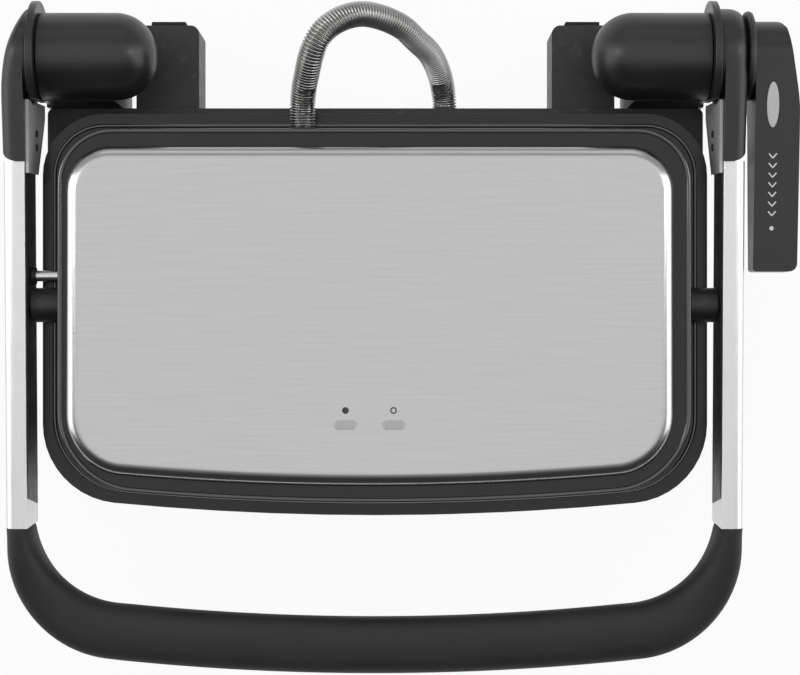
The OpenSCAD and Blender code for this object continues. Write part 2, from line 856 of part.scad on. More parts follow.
module lid_shell() {
    color("#2a2a2a") place() difference() {
        union() {
            layer(flange_shape, lid_z, flange_top - rim_h);
            layer(inset(flange_shape, rim_step), flange_top - rim_h - eps, flange_top);
            layer(wall_shape, flange_top - eps, lid_top - top_step);
            layer(inset(wall_shape, top_step), lid_top - top_step - eps, lid_top);
        }
        layer(inset(wall_shape, lid_wall), lid_z - eps, lid_top - lid_wall);
        at_pillars()
            translate([0, 0, lid_top - lid_wall - 1])
                cylinder(r = screw_r + seat, h = lid_wall + 2);
        at_lamps()
            translate([0, 0, lid_top - lid_wall - 1])
                linear_extrude(lid_wall + 2)
                    obround(lamp_l + 2 * lamp_border + 1, lamp_w + 2 * lamp_border + 1);
        translate([-hose_x, wall_shape[1] - lid_wall - 1, hose_lid_z])
            rotate([-90, 0, 0])
                cylinder(r = hose_r + fit, h = lid_wall + 2);
        translate([-wall_shape[0] - 1, stop_back, stop_z - stop_swing])
            rod(stop_r + gap, 0, lid_wall + 2);
        translate([-wall_shape[0] - 1, stop_back, stop_z + stop_swing])
            rod(stop_r + gap, 0, lid_wall + 2);
        translate([-wall_shape[0] - 1, stop_back - stop_r - gap, stop_z - stop_swing])
            cube([lid_wall + 2, 2 * (stop_r + gap), 2 * stop_swing]);
    }
}

// Pressed sheet with a rolled edge: rings of a quarter circle, hulled into one dome.
module skin_dome(grow, top) {
    hull()
        for (a = [0:22.5:90])
            translate([0, 0, top - skin_roll + skin_roll * sin(a)])
                linear_extrude(eps)
                    outline(inset(skin_shape, skin_roll * (1 - cos(a)) - grow));
}

module lid_skin() {
    top = lid_top + skin_h;
    color("#c4c4c4") place() difference() {
        translate([-skin_off, 0, 0]) {
            skin_dome(0, top);
            layer(skin_shape, lid_top, top - skin_roll + eps);
        }
        translate([-skin_off, 0, 0]) {
            skin_dome(-skin_t, top - skin_t);
            layer(inset(skin_shape, skin_t), lid_top - eps, top - skin_roll - skin_t + 2 * eps);
        }
        at_lamps()
            translate([0, 0, lid_top])
                linear_extrude(skin_h + 1)
                    obround(lamp_l, lamp_w);
    }
}

// Clear lens: a ribbed obround that fills its window, on a wider foot under the skin.
module lens(x) {
    top = lid_top + skin_h;
    color("#dedede") place() translate([x - skin_off, lamp_y, 0]) difference() {
        union() {
            translate([0, 0, top - skin_t - 2])
                linear_extrude(2)
                    obround(lamp_l + 2 * lamp_border, lamp_w + 2 * lamp_border);
            translate([0, 0, top - skin_t - eps])
                linear_extrude(skin_t + 0.3)
                    obround(lamp_l - 2 * fit, lamp_w - 2 * fit);
        }
        for (k = [-3:3])
            translate([k * lamp_l / 9 - 0.2, -lamp_w, top + 0.1])
                cube([0.4, 2 * lamp_w, 1]);
    }
}

module lamp_holder() {
    top = lid_top + skin_h - skin_t - 2;
    bottom = lid_top - lid_wall - 8;
    color("#ece8dc") place() difference() {
        union() {
            at_lamps()
                translate([0, 0, bottom])
                    linear_extrude(top - bottom)
                        obround(lamp_l + 2 * lamp_border, lamp_w + 2 * lamp_border);
            translate([-lamp_pitch / 2 - skin_off, lamp_y - lamp_w / 2, bottom])
                cube([lamp_pitch, lamp_w, 6]);
        }
        at_lamps()
            translate([0, 0, bottom - 1])
                cylinder(r = lamp_r + fit, h = top - bottom + 2);
    }
}

module lamps() {
    color("#ff8a5c") place() at_lamps()
        translate([0, 0, lid_top - lid_wall - 6])
            cylinder(r = lamp_r, h = 7);
}

module lid_screws() {
    color("silver") place() at_pillars() {
        translate([0, 0, lid_top])
            cylinder(r = screw_head_r, h = screw_head_h);
        translate([0, 0, lid_top - lid_wall - 10])
            cylinder(r = screw_r, h = lid_wall + 10 + eps);
    }
}

// Cast plate with cooking ribs below and four pillars above that carry it.
module upper_plate() {
    ribs = floor((wall_shape[0] - 14) / rib_pitch);
    color("#3a3a3c") place() difference() {
        union() {
            layer(plate_shape, rib_tip + rib_h, upper_back);
            for (k = [-ribs:ribs])
                translate([k * rib_pitch - rib_w / 2, plate_shape[2] + 16, rib_tip])
                    cube([rib_w, plate_shape[1] - plate_shape[2] - 24, rib_h + eps]);
            at_pillars() {
                translate([0, 0, upper_back - eps])
                    cylinder(r = pillar_r, h = lid_top - lid_wall - upper_back + eps);
                translate([0, 0, upper_back - eps])
                    cylinder(r = shoulder_r, h = upper_sheet);
            }
        }
        at_pillars()
            translate([0, 0, lid_top - lid_wall - 10.5])
                cylinder(r = screw_r + fit, h = 11);
    }
}

module upper_element() {
    color("silver") place()
        translate([0, element_mid, upper_back + element_r + eps])
            element(element_x, element_y, upper_terminal);
}

module upper_reflector() {
    color("#b8b8b8") place()
        reflector(upper_back + upper_sheet - eps);
}

// ---------------------------------------------------------------- conduit

hose_route = concat(
    [[hose_x, base_back - base_wall, hose_base_z], [hose_x, base_back + 2.7, hose_base_z],
        [hose_x - 0.5, base_back + 8.2, hose_base_z + 1.2]],
    hose_mid,
    [[-hose_x, wall_shape[1] + 11, hose_lid_z + 1], [-hose_x, wall_shape[1] + 4, hose_lid_z],
        [-hose_x, wall_shape[1] - lid_wall, hose_lid_z]]
);
hose_steps = 8;     // points on the curve between two route points
function curve(p, q, r, s, t) =
    0.5 * (2 * q + (r - p) * t + (2 * p - 5 * q + 4 * r - s) * t * t
        + (3 * q - p - 3 * r + s) * t * t * t);
hose_curve = [
    for (i = [0:len(hose_route) - 2])
        let (p = hose_route[max(i - 1, 0)], q = hose_route[i], r = hose_route[i + 1],
            s = hose_route[min(i + 2, len(hose_route) - 1)])
            for (k = [0:hose_steps - 1]) curve(p, q, r, s, k / hose_steps),
    hose_route[len(hose_route) - 1]
];
function lengths(points, i = 0, sum = 0) =
    i == len(points) - 1 ? [sum]
    : concat([sum], lengths(points, i + 1, sum + norm(points[i + 1] - points[i])));
hose_length_at = lengths(hose_curve);
hose_length = hose_length_at[len(hose_length_at) - 1];
hose_table = [
    for (axis = [0:2])
        [for (i = [0:len(hose_curve) - 1]) [hose_length_at[i], hose_curve[i][axis]]]
];
function hose_point(s) = [for (axis = [0:2]) lookup(s, hose_table[axis])];
function unit(v) = v / norm(v);
hose_side = unit([0.8, 0, 1]);
function hose_ring(s, r) =
    let (ahead = min(s + 1, hose_length), behind = max(s - 1, 0),
        along = unit(hose_point(ahead) - hose_point(behind)),
        across = unit(hose_side - (hose_side * along) * along),
        third = cross(along, across), at = hose_point(s))
    [for (k = [0:7]) at + r * (cos(45 * k) * across + sin(45 * k) * third)];
hose_pitch = hose_length / hose_ribs;

// One ribbed tube with its bore: out along the ribs, back along the bore.
module conduit() {
    outer = [for (i = [0:2 * hose_ribs])
        hose_ring(i * hose_pitch / 2, i % 2 == 0 ? hose_r - hose_rib : hose_r)];
    inner = [for (i = [hose_ribs:-3:0]) hose_ring(i * hose_pitch, hose_bore)];
    loop = concat(outer, inner);
    n = len(loop);
    color("#8f8f8a") place()
        polyhedron(
            points = [for (ring = loop) each ring],
            faces = [for (i = [0:n - 1], k = [0:7])
                let (j = (i + 1) % n, a = i * 8 + k, b = i * 8 + (k + 1) % 8,
                    c = j * 8 + (k + 1) % 8, d = j * 8 + k)
                    each [[a, c, b], [a, d, c]]]
        );
}

module hose_collar(length) {
    difference() {
        cylinder(r = hose_r + 1.2, h = length);
        translate([0, 0, -1])
            cylinder(r = hose_r + fit, h = length + 2);
    }
}

module conduit_collar_base() {
    color("#262626") place()
        translate([hose_x, base_back, hose_base_z])
            rotate([-90, 0, 0])
                hose_collar(1);
}

module conduit_collar_lid() {
    color("#262626") place()
        translate([-hose_x, wall_shape[1], hose_lid_z])
            rotate([-90, 0, 0])
                hose_collar(1);
}

// ---------------------------------------------------------------- lock lever

lever_front_r = 3.5;

module lever_plan() {
    back = lever_r;
    polygon(concat(
        [[0, back + 1], [lever_w / 2, back + 1], [lever_w - 7, back - 1.5]],
        [[lever_w - 5.4, back - 4], [lever_w - 1, -15.5], [lever_w, -24]],
        arc([lever_w - lever_front_r, lever_front_r - lever_l], lever_front_r, 0, -90, 5),
        arc([1.5, 1.5 - lever_l], 1.5, -90, -180, 3)
    ));
}

lever_under = 8;    // how far the lever's underside lies below the hinge axis
lever_corner = [-lever_l, lever_tip - lever_under];
// Point where the lever's upper face runs into its round root.
lever_touch =
    let (a = atan2(lever_corner[1], lever_corner[0]) - acos(lever_r / norm(lever_corner)))
    (lever_r - dip) * [cos(a), sin(a)];
lever_rise = (lever_touch[1] - lever_corner[1]) / (lever_touch[0] - lever_corner[0]);
function lever_top(y) = lever_corner[1] + lever_rise * (y + lever_l);

module lever_side() {
    circle(lever_r);
    polygon([
        [0, 0], lever_touch, lever_corner, [-lever_l, -lever_under],
        [-2 * lever_r, -lever_under - 2], [0, -lever_r]
    ]);
}

// Hollow of the lever, open below.
module lever_hollow() {
    front = lever_wall - lever_l;
    back = -lever_r - 6;
    intersection() {
        slab(lever_in, lever_out)
            polygon([
                [front, -40], [front, lever_top(front) - lever_wall],
                [back, lever_top(back) - lever_wall], [back, -40]
            ]);
        translate([lever_in, 0, -50])
            linear_extrude(90)
                polygon([
                    [lever_wall, back + 2], [lever_w - lever_wall, back + 2],
                    [lever_w - lever_wall, front + 2], [lever_w - lever_wall - 2, front],
                    [lever_wall, front]
                ]);
    }
}

module lock_lever() {
    color("#2c2c2c") place() translate([0, axis_y, axis_z]) difference() {
        intersection() {
            slab(lever_in, lever_out)
                lever_side();
            translate([lever_in, 0, -40])
                linear_extrude(80)
                    lever_plan();
        }
        lever_hollow();
        rod(shaft_r + fit, lever_in - 1, lever_out - 6);
    }
}

module lever_hub() {
    color("#262626") place() translate([0, axis_y, axis_z]) difference() {
        rod(cap_r - 1, cap_out + gap, lever_in);
        rod(shaft_r + fit, cap_out, lever_in + 1);
    }
}

inlay_l = 20;
inlay_w = 5.4;
inlay_t = 0.6;
inlay_at = [lever_in + 7.5, -22.7];     // across and along the lever

module lever_inlay() {
    color("#b9b9b9") place() translate([
        inlay_at[0], axis_y + inlay_at[1],
        axis_z + lever_top(inlay_at[1])
    ])
        rotate([atan(lever_rise), 0, 0])
            linear_extrude(inlay_t)
                polygon([for (a = [0:10:350]) [inlay_w / 2 * cos(a), inlay_l / 2 * sin(a)]]);
}

// ---------------------------------------------------------------- pieces

base_housing();
base_pan();
base_screws();
feet(pillar_front);  // front_feet
feet(pillar_back);  // rear_feet
lower_plate();
lower_element();
lower_reflector();
thermostat();
terminal_block();
cord_gland();
storage_post(-1);  // storage_post_left
storage_post(1);  // storage_post_right
storage_pads();
hinge_tower(-1);  // hinge_tower_left
hinge_tower(1);  // hinge_tower_right
hinge_shaft(-1);  // hinge_shaft_left
hinge_shaft(1);  // hinge_shaft_right
conduit_collar_base();
arm_cap(-1);  // arm_cap_left
arm_cap(1);  // arm_cap_right
arm_sleeve(-1);  // arm_sleeve_left
arm_sleeve(1);  // arm_sleeve_right
arm_strip(-1);  // arm_strip_left
arm_strip(1);  // arm_strip_right
arm_bar(-1);  // arm_bar_left
arm_bar(1);  // arm_bar_right
hinge_disc(-1);  // hinge_disc_left
hinge_disc(1);  // hinge_disc_right
hinge_bush(-1);  // hinge_bush_left
hinge_bush(1);  // hinge_bush_right
gusset(-1);  // gusset_left
gusset(1);  // gusset_right
gusset_screws();
grip();
stop_pin();
stop_collar();
pivot_pin(-1);  // pivot_pin_left
pivot_pin(1);  // pivot_pin_right
lid_shell();
lid_skin();
pivot_boss(-1);  // pivot_boss_left
pivot_boss(1);  // pivot_boss_right
upper_plate();
upper_element();
upper_reflector();
lens(-lamp_pitch / 2);  // left_lens
lens(lamp_pitch / 2);  // right_lens
lamp_holder();
lamps();
lid_screws();
conduit_collar_lid();
lock_lever();
lever_hub();
lever_inlay();
conduit();
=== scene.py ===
# %% [markdown]
# # A sandwich toaster, seen from straight above
#
# The machine is a press with two heated plates. Its lid hangs between the two arms of
# a long handle, and the handle turns on two round barrels at the back of the base.
# The measured parts come in as a frame of plain solids, which never move. This lesson
# gives each of them its rounded edges and its finish, and lights the whole like a
# catalogue picture.

# %% Bring in the frame
import json
import math

import bmesh
import bpy
from mathutils import Matrix, Vector


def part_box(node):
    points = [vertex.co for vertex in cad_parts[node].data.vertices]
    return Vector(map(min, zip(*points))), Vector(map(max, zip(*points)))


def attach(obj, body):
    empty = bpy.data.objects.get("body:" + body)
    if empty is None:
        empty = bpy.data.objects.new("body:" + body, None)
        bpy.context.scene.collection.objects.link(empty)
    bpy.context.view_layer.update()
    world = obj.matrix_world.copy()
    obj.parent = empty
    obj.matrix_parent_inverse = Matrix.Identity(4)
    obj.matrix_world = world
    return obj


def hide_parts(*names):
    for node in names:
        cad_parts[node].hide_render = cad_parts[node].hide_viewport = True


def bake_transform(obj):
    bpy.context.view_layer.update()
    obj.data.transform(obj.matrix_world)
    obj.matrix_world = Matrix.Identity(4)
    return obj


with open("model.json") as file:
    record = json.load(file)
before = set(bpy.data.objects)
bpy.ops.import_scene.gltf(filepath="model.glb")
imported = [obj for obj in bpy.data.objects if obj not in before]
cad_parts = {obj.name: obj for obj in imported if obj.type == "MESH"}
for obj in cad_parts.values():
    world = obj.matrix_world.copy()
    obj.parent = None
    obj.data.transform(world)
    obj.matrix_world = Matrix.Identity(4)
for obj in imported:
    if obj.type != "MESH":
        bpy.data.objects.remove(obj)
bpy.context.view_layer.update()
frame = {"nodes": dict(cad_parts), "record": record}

MM = 0.001
nodes = frame["nodes"]
body_of = {
    node: body
    for body, members in frame["record"]["behaviour"]["bodies"].items()
    for node in members
}
slot_of = {part["node"]: part["material_slot"] for part in frame["record"]["subparts"]}

# %% [markdown]
# ## Landmarks
#
# Every new piece takes its place from the solids, so that it fits them. The hinge axis
# is the middle of the round bushes, and the middle plane of the machine is half-way
# between the two arms. With the lid shut the arms slope down a little to the front.

# %% Find the middle plane, the hinge and the slope of the arms
def middle(node):
    """The middle of a solid's box."""
    low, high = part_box(node)
    return (low + high) / 2


MID_X = (middle("arm_sleeve_left").x + middle("arm_sleeve_right").x) / 2
HINGE = middle("hinge_bush_left")
SLOPE = math.radians(2.3)
print(f"middle plane {MID_X / MM:.1f} mm, hinge at {HINGE.y / MM:.1f}, {HINGE.z / MM:.1f} mm")


def from_arm(x, y, z):
    """Places a point that is given from the hinge axis, with Y along the sloping arms."""
    c, s = math.cos(SLOPE), math.sin(SLOPE)
    return Vector((MID_X + x, HINGE.y + y * c - z * s, HINGE.z + y * s + z * c))


# %% [markdown]
# ## Wiring a finish
#
# A real surface is never one flat colour. Moulded plastic has a fine grain, sheet metal
# has the scratches of its polishing belt, and both have broad soft patches where they
# shine a little more or less. Each finish here is the same small recipe: a broad noise
# that tints and dulls, and a fine noise that gives a bump. Only the numbers differ.

# %% A helper that adds one shader node
def add(tree, kind, inputs=None, **settings):
    """Adds a shader node. An input that is itself a socket is linked, and a value is set."""
    shader_node = tree.nodes.new("ShaderNode" + kind)
    for key, value in settings.items():
        setattr(shader_node, key, value)
    for socket, value in (inputs or {}).items():
        if isinstance(value, bpy.types.NodeSocket):
            tree.links.new(value, shader_node.inputs[socket])
        else:
            shader_node.inputs[socket].default_value = value
    return shader_node


def linear(level):
    """A level from 0 to 255, as a picture shows it, in Blender's linear light."""
    share = level / 255
    return share / 12.92 if share <= 0.04045 else ((share + 0.055) / 1.055) ** 2.4


def grey(level, warmth=0.0):
    """A grey of that level, a little towards yellow where warmth is more than nothing."""
    value = linear(level)
    return (value * (1 + warmth), value, value * (1 - warmth), 1)


def ramp(tree, factor, stops):
    """A colour ramp with the given (place, colour) stops."""
    made = add(tree, "ValToRGB", {"Fac": factor})
    elements = made.color_ramp.elements
    while len(elements) < len(stops):
        elements.new(0.5)
    for element, (place, colour) in zip(elements, stops):
        element.position = place
        element.color = colour
    return made.outputs["Color"]


def spread(tree, factor, low, high, start=0.3, end=0.7):
    """Stretches the range from start to end of a factor to the range from low to high."""
    return add(
        tree, "MapRange",
        {"Value": factor, "From Min": start, "From Max": end, "To Min": low, "To Max": high},
    ).outputs["Result"]


# %% The recipe that most finishes share
def finish(
    name, dark, light, rough, metallic=0.0, grain=0.5, depth=0.02, stretch=(1, 1, 1),
    patch=35.0, specks=None, specular=0.5, coat=0.0,
):
    """A finish between two colours. grain and depth of the bump are in millimetres."""
    material = bpy.data.materials.new(name)
    material.use_nodes = True
    tree = material.node_tree
    shader = tree.nodes["Principled BSDF"]
    where = add(tree, "TexCoord").outputs["Object"]
    drawn = add(tree, "Mapping", {"Vector": where, "Scale": stretch}).outputs["Vector"]
    fine = add(
        tree, "TexNoise", {"Vector": drawn, "Scale": 1 / (grain * MM), "Detail": 2.0}
    ).outputs["Fac"]
    broad = add(
        tree, "TexNoise", {"Vector": where, "Scale": patch, "Detail": 3.0}
    ).outputs["Fac"]
    tone = add(tree, "Math", {0: fine, 1: broad}, operation="ADD").outputs["Value"]
    tone = add(tree, "Math", {0: tone, 1: 0.5}, operation="MULTIPLY").outputs["Value"]
    stops = [(0.38, dark), (0.56, light)]
    if specks:
        stops += [(0.58, light), (0.66, specks)]
    tree.links.new(ramp(tree, tone, stops), shader.inputs["Base Color"])
    tree.links.new(spread(tree, broad, rough[0], rough[1]), shader.inputs["Roughness"])
    bump = add(tree, "Bump", {"Strength": 1.0, "Distance": depth * MM, "Height": fine})
    tree.links.new(bump.outputs["Normal"], shader.inputs["Normal"])
    shader.inputs["Metallic"].default_value = metallic
    shader.inputs["Specular IOR Level"].default_value = specular
    shader.inputs["Coat Weight"].default_value = coat
    shader.inputs["Coat Roughness"].default_value = 0.12
    return material


# %% [markdown]
# ## The finishes of this machine
#
# The black parts have four finishes: a fine matte grain with pale specks on the base, a
# smoother satin on the barrels, caps and lever, a polish on the lid, and a soft-touch
# coat on the grip. The metals are a skin of steel brushed from side to side, bright
# aluminium sleeves, dull sheet, plated rods and a little bronze. The plates inside have
# a speckled non-stick coat.

# %% Plastics, rubber and coatings
FINISHES = {
    "black_plastic": finish(
        "Fine matte black", grey(26), grey(35), (0.42, 0.54), grain=0.4, depth=0.05,
        patch=160.0, specks=grey(74),
    ),
    "satin_black": finish(
        "Satin black", grey(27), grey(33), (0.3, 0.42), grain=0.35, depth=0.008,
    ),
    "soft_grip": finish(
        "Soft-touch black", grey(34), grey(40), (0.55, 0.7), grain=0.3, depth=0.01,
        specular=0.35,
    ),
    "black_rubber": finish(
        "Black rubber", grey(24), grey(38), (0.7, 0.85), grain=0.8, depth=0.03,
        specular=0.3,
    ),
    "cooking_plate": finish(
        "Speckled non-stick coat", grey(34), grey(48), (0.3, 0.45), grain=0.9, depth=0.02,
        specks=grey(80), coat=0.3,
    ),
    "cream_plastic": finish(
        "Cream heat-proof plastic", grey(205, 0.06), grey(222, 0.07), (0.4, 0.55),
    ),
}

# %% Sheets, rods and castings
FINISHES.update({
    "dark_sheet": finish(
        "Dark coated sheet", grey(42), grey(58), (0.4, 0.55), metallic=0.3, grain=1.2,
    ),
    "plated_steel": finish(
        "Bright plated steel", grey(196), grey(216), (0.16, 0.3), metallic=1.0,
        grain=0.25, depth=0.004, stretch=(0.15, 1, 1),
    ),
    "reflector_sheet": finish(
        "Bright reflector sheet", grey(200), grey(218), (0.25, 0.42), metallic=1.0,
        grain=0.4, depth=0.006, stretch=(0.05, 1, 1),
    ),
    "bright_aluminium": finish(
        "Satin aluminium", grey(212), grey(218), (0.34, 0.38), metallic=1.0,
        grain=0.3, depth=0.0006, stretch=(1, 0.02, 1),
    ),
    "bush_bronze": finish(
        "Sintered bronze", (0.36, 0.22, 0.09, 1), (0.5, 0.32, 0.14, 1), (0.35, 0.5),
        metallic=1.0, grain=0.3, depth=0.02,
    ),
    "grey_metal": finish(
        "Satin grey metal", grey(176), grey(190), (0.35, 0.45), metallic=0.1,
        grain=0.3, depth=0.005,
    ),
    "conduit_steel": finish(
        "Ribbed conduit steel", grey(140, 0.02), grey(186, 0.01), (0.2, 0.36),
        metallic=1.0, grain=0.5, depth=0.01,
    ),
})
print(f"{len(FINISHES)} finishes wired")

# %% [markdown]
# ## The brushed steel
#
# A polishing belt runs from side to side and leaves long fine lines. A noise that is
# stretched along X gives those lines. One is very fine and long and drives the bump, a
# second is coarser and shorter and changes the tone, and a broad haze with the fine one
# varies the gloss. Real brushed steel also smears its highlights across the lines. Here
# the bump does that, and the shader's anisotropic setting stays off.

# %% Steel with lines from side to side
def brushed_steel(name):
    """Steel with fine lines along X, of two lengths."""
    material = bpy.data.materials.new(name)
    material.use_nodes = True
    tree = material.node_tree
    shader = tree.nodes["Principled BSDF"]
    where = add(tree, "TexCoord").outputs["Object"]
    long_lines = add(
        tree, "Mapping", {"Vector": where, "Scale": (0.012, 1, 1)}
    ).outputs["Vector"]
    short_lines = add(
        tree, "Mapping", {"Vector": where, "Scale": (0.04, 1, 1)}
    ).outputs["Vector"]
    fine = add(
        tree, "TexNoise", {"Vector": long_lines, "Scale": 2600.0, "Detail": 3.0}
    ).outputs["Fac"]
    coarse = add(
        tree, "TexNoise", {"Vector": short_lines, "Scale": 900.0, "Detail": 5.0}
    ).outputs["Fac"]
    hazy = add(tree, "TexNoise", {"Vector": where, "Scale": 9.0, "Detail": 2.0}).outputs["Fac"]
    tint = ramp(tree, coarse, [(0.3, grey(181, 0.006)), (0.7, grey(185, 0.006))])
    tree.links.new(tint, shader.inputs["Base Color"])
    dull = add(tree, "Math", {0: fine, 1: hazy}, operation="ADD").outputs["Value"]
    tree.links.new(spread(tree, dull, 0.2, 0.25, 0.8, 1.2), shader.inputs["Roughness"])
    bump = add(tree, "Bump", {"Strength": 1.0, "Distance": 0.0006 * MM, "Height": fine})
    tree.links.new(bump.outputs["Normal"], shader.inputs["Normal"])
    shader.inputs["Metallic"].default_value = 1.0
    return material


FINISHES["brushed_skin"] = brushed_steel("Steel brushed side to side")
print("steel brushed")

# %% The polished black of the lid
LID_BLACK = finish(
    "Polished black of the lid", grey(15), grey(21), (0.16, 0.24), grain=0.35, depth=0.003,
    specular=0.4,
)
print(f"{LID_BLACK.name} wired")

# %% [markdown]
# ## The lamp windows and printed marks
#
# The two windows are clear plastic with fine upright ribs, over a small amber lamp.
# Clear plastic is a shader with transmission. The marks on the skin and the lever are
# printed ink, a thin matte film.

# %% Clear lens, lamp and ink
CLEAR_IOR = 1.49


def clear_plastic(name, colour, rough, transmission):
    """A finish that lets light through, bent as acrylic bends it."""
    material = finish(name, colour, colour, rough, grain=0.6, depth=0.004)
    shader = material.node_tree.nodes["Principled BSDF"]
    shader.inputs["Transmission Weight"].default_value = transmission
    shader.inputs["IOR"].default_value = CLEAR_IOR
    return material


FINISHES["clear_lens"] = clear_plastic("Clear ribbed lens", grey(226), (0.08, 0.16), 0.6)
FINISHES["lamp_glass"] = clear_plastic("Amber lamp", (0.85, 0.36, 0.2, 1), (0.1, 0.2), 0.4)
DARK_INK = finish("Dark printed ink", grey(44), grey(56), (0.5, 0.6), depth=0.004)
PALE_INK = finish("Pale printed ink", grey(196), grey(212), (0.5, 0.6), depth=0.004)
print(f"{len(FINISHES)} finishes for the {len(set(slot_of.values()))} slots of the record")

# %% [markdown]
# ## From plain solids to finished pieces
#
# A solid from the frame has razor-sharp edges, and a real edge never has: it catches a
# thin line of light because it is slightly round. So most pieces are made from a copy
# of their solid. The copy's loose triangles are merged, its flat faces made whole, and
# its sharp edges bevelled. Weighted normals then keep the flat faces flat.

# %% Copy, merge and soften a solid
DOUBLES = 0.002 * MM


def merged_copy(name):
    """A solid's mesh as a bmesh, with doubles merged and flat faces made whole."""
    bm = bmesh.new()
    bm.from_mesh(nodes[name].data)
    bmesh.ops.remove_doubles(bm, verts=bm.verts, dist=DOUBLES)
    bmesh.ops.dissolve_limit(
        bm, angle_limit=math.radians(0.6), verts=bm.verts, edges=bm.edges,
        delimit={"NORMAL"},
    )
    return bm


def drop_slivers(bm, shortest):
    """Collapses the very short edges, which would hold a wide bevel back."""
    bmesh.ops.dissolve_degenerate(bm, dist=shortest * MM, edges=bm.edges)


def soften(bm, width, segments=2, where=None, angle=35):
    """Bevels the edges that are sharper than angle and, with where, that it picks."""
    sharp = [
        edge for edge in bm.edges
        if len(edge.link_faces) == 2
        and edge.calc_face_angle(0) > math.radians(angle)
        and (where is None or where((edge.verts[0].co + edge.verts[1].co) / 2))
    ]
    bmesh.ops.bevel(
        bm, geom=sharp, offset=width * MM, offset_type="OFFSET", segments=segments,
        profile=0.5, affect="EDGES", clamp_overlap=True, material=-1,
    )


def piece(name, bm, body, slot=None, material=None, stands_for=(), crease=40):
    """Makes the object, smooth but for edges sharper than crease, and hands it to its body."""
    mesh = bpy.data.meshes.new(name)
    bm.to_mesh(mesh)
    bm.free()
    mesh.shade_smooth()
    mesh.set_sharp_from_angle(angle=math.radians(crease))
    mesh.materials.append(material or FINISHES[slot])
    made = bpy.data.objects.new(name, mesh)
    bpy.context.scene.collection.objects.link(made)
    even = made.modifiers.new("Even shading", "WEIGHTED_NORMAL")
    even.keep_sharp = True
    if body:
        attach(made, body)
    if stands_for:
        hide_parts(*stands_for)
    return made


# %% Cut one shape out of another
def cut_away(target, cutter_bm):
    """Cuts the cutter's shape out of the target, and keeps only the result."""
    cutter_mesh = bpy.data.meshes.new("cutter")
    cutter_bm.to_mesh(cutter_mesh)
    cutter_bm.free()
    cutter = bpy.data.objects.new("cutter", cutter_mesh)
    bpy.context.scene.collection.objects.link(cutter)
    even = target.modifiers["Even shading"]
    target.modifiers.remove(even)
    boolean = target.modifiers.new("Cut", "BOOLEAN")
    boolean.operation = "DIFFERENCE"
    boolean.solver = "EXACT"
    boolean.object = cutter
    scene_state = bpy.context.evaluated_depsgraph_get()
    result = bpy.data.meshes.new_from_object(target.evaluated_get(scene_state))
    target.modifiers.remove(boolean)
    bpy.data.objects.remove(cutter)
    target.data = result
    result.set_sharp_from_angle(angle=math.radians(40))
    target.modifiers.new("Even shading", "WEIGHTED_NORMAL").keep_sharp = True


# %% [markdown]
# ## The pieces with simply rounded edges
#
# For these the moulding or the sheet has the shape of its solid, and only the radius of
# its edges has to be chosen. Moulded plastic has about one millimetre, turned and
# stamped metal a few tenths.

# %% Round the plain pieces
EDGE_RADII = {
    "base_housing": 1.0, "base_pan": 0.3, "front_feet": 1.2, "rear_feet": 1.2,
    "lower_plate": 0.6, "cord_gland": 0.4, "storage_post_left": 1.1,
    "storage_post_right": 1.1, "storage_pads": 0.6, "hinge_tower_left": 0.7,
    "hinge_tower_right": 0.7, "conduit_collar_base": 0.4, "hinge_disc_left": 0.5,
    "hinge_disc_right": 0.5, "arm_strip_left": 0.3, "arm_strip_right": 0.3,
    "gusset_left": 0.25, "gusset_right": 0.25, "gusset_screws": 0.25,
    "stop_pin": 0.6, "stop_collar": 0.5, "pivot_pin_left": 0.5, "pivot_pin_right": 0.5,
    "pivot_boss_left": 0.5, "pivot_boss_right": 0.5, "lid_shell": 0.7,
    "upper_plate": 0.6, "left_lens": 0.15, "right_lens": 0.15, "base_screws": 0.5,
    "conduit_collar_lid": 0.4, "lever_hub": 1.8, "hinge_shaft_right": 0.6,
}
for node, radius in EDGE_RADII.items():
    bm = merged_copy(node)
    soften(bm, radius)
    piece(
        node + "_finished", bm, body_of[node], slot_of[node],
        LID_BLACK if node == "lid_shell" else None, stands_for=[node],
    )
print(f"{len(EDGE_RADII)} pieces rounded")

# %% [markdown]
# ## Caps and sleeves of the arms
#
# A hand slides along the arms, so their outer side is rounded like the letter D. The
# side view of a cap or sleeve is drawn as an outline and extruded. Its outer face is
# then pushed out and inset in small steps that follow a quarter of an ellipse. The left
# cap also sweeps inwards behind the hinge, which a shift of its points gives. The right
# cap is bored right through for the lever's shaft, and the left one is blind.

# %% A D-shaped bar from its side view
def d_shape(outline, inner, outer, depth, inset, steps=7):
    """Extrudes (y, z) points from inner to outer, with an elliptic outer edge."""
    bm = bmesh.new()
    bottom = bm.faces.new([bm.verts.new((inner, y, z)) for y, z in outline])
    grown = bmesh.ops.extrude_face_region(bm, geom=[bottom])["geom"]
    face = next(item for item in grown if isinstance(item, bmesh.types.BMFace))
    bmesh.ops.translate(bm, verts=face.verts, vec=(outer - inner - depth, 0, 0))
    for step in range(steps):
        before, after = (math.radians(90 * (step + k) / steps) for k in (0, 1))
        bmesh.ops.inset_region(
            bm, faces=[face], use_even_offset=True,
            thickness=inset * (math.cos(before) - math.cos(after)),
        )
        lift = depth * (math.sin(after) - math.sin(before))
        bmesh.ops.translate(bm, verts=face.verts, vec=(lift, 0, 0))
    return bm


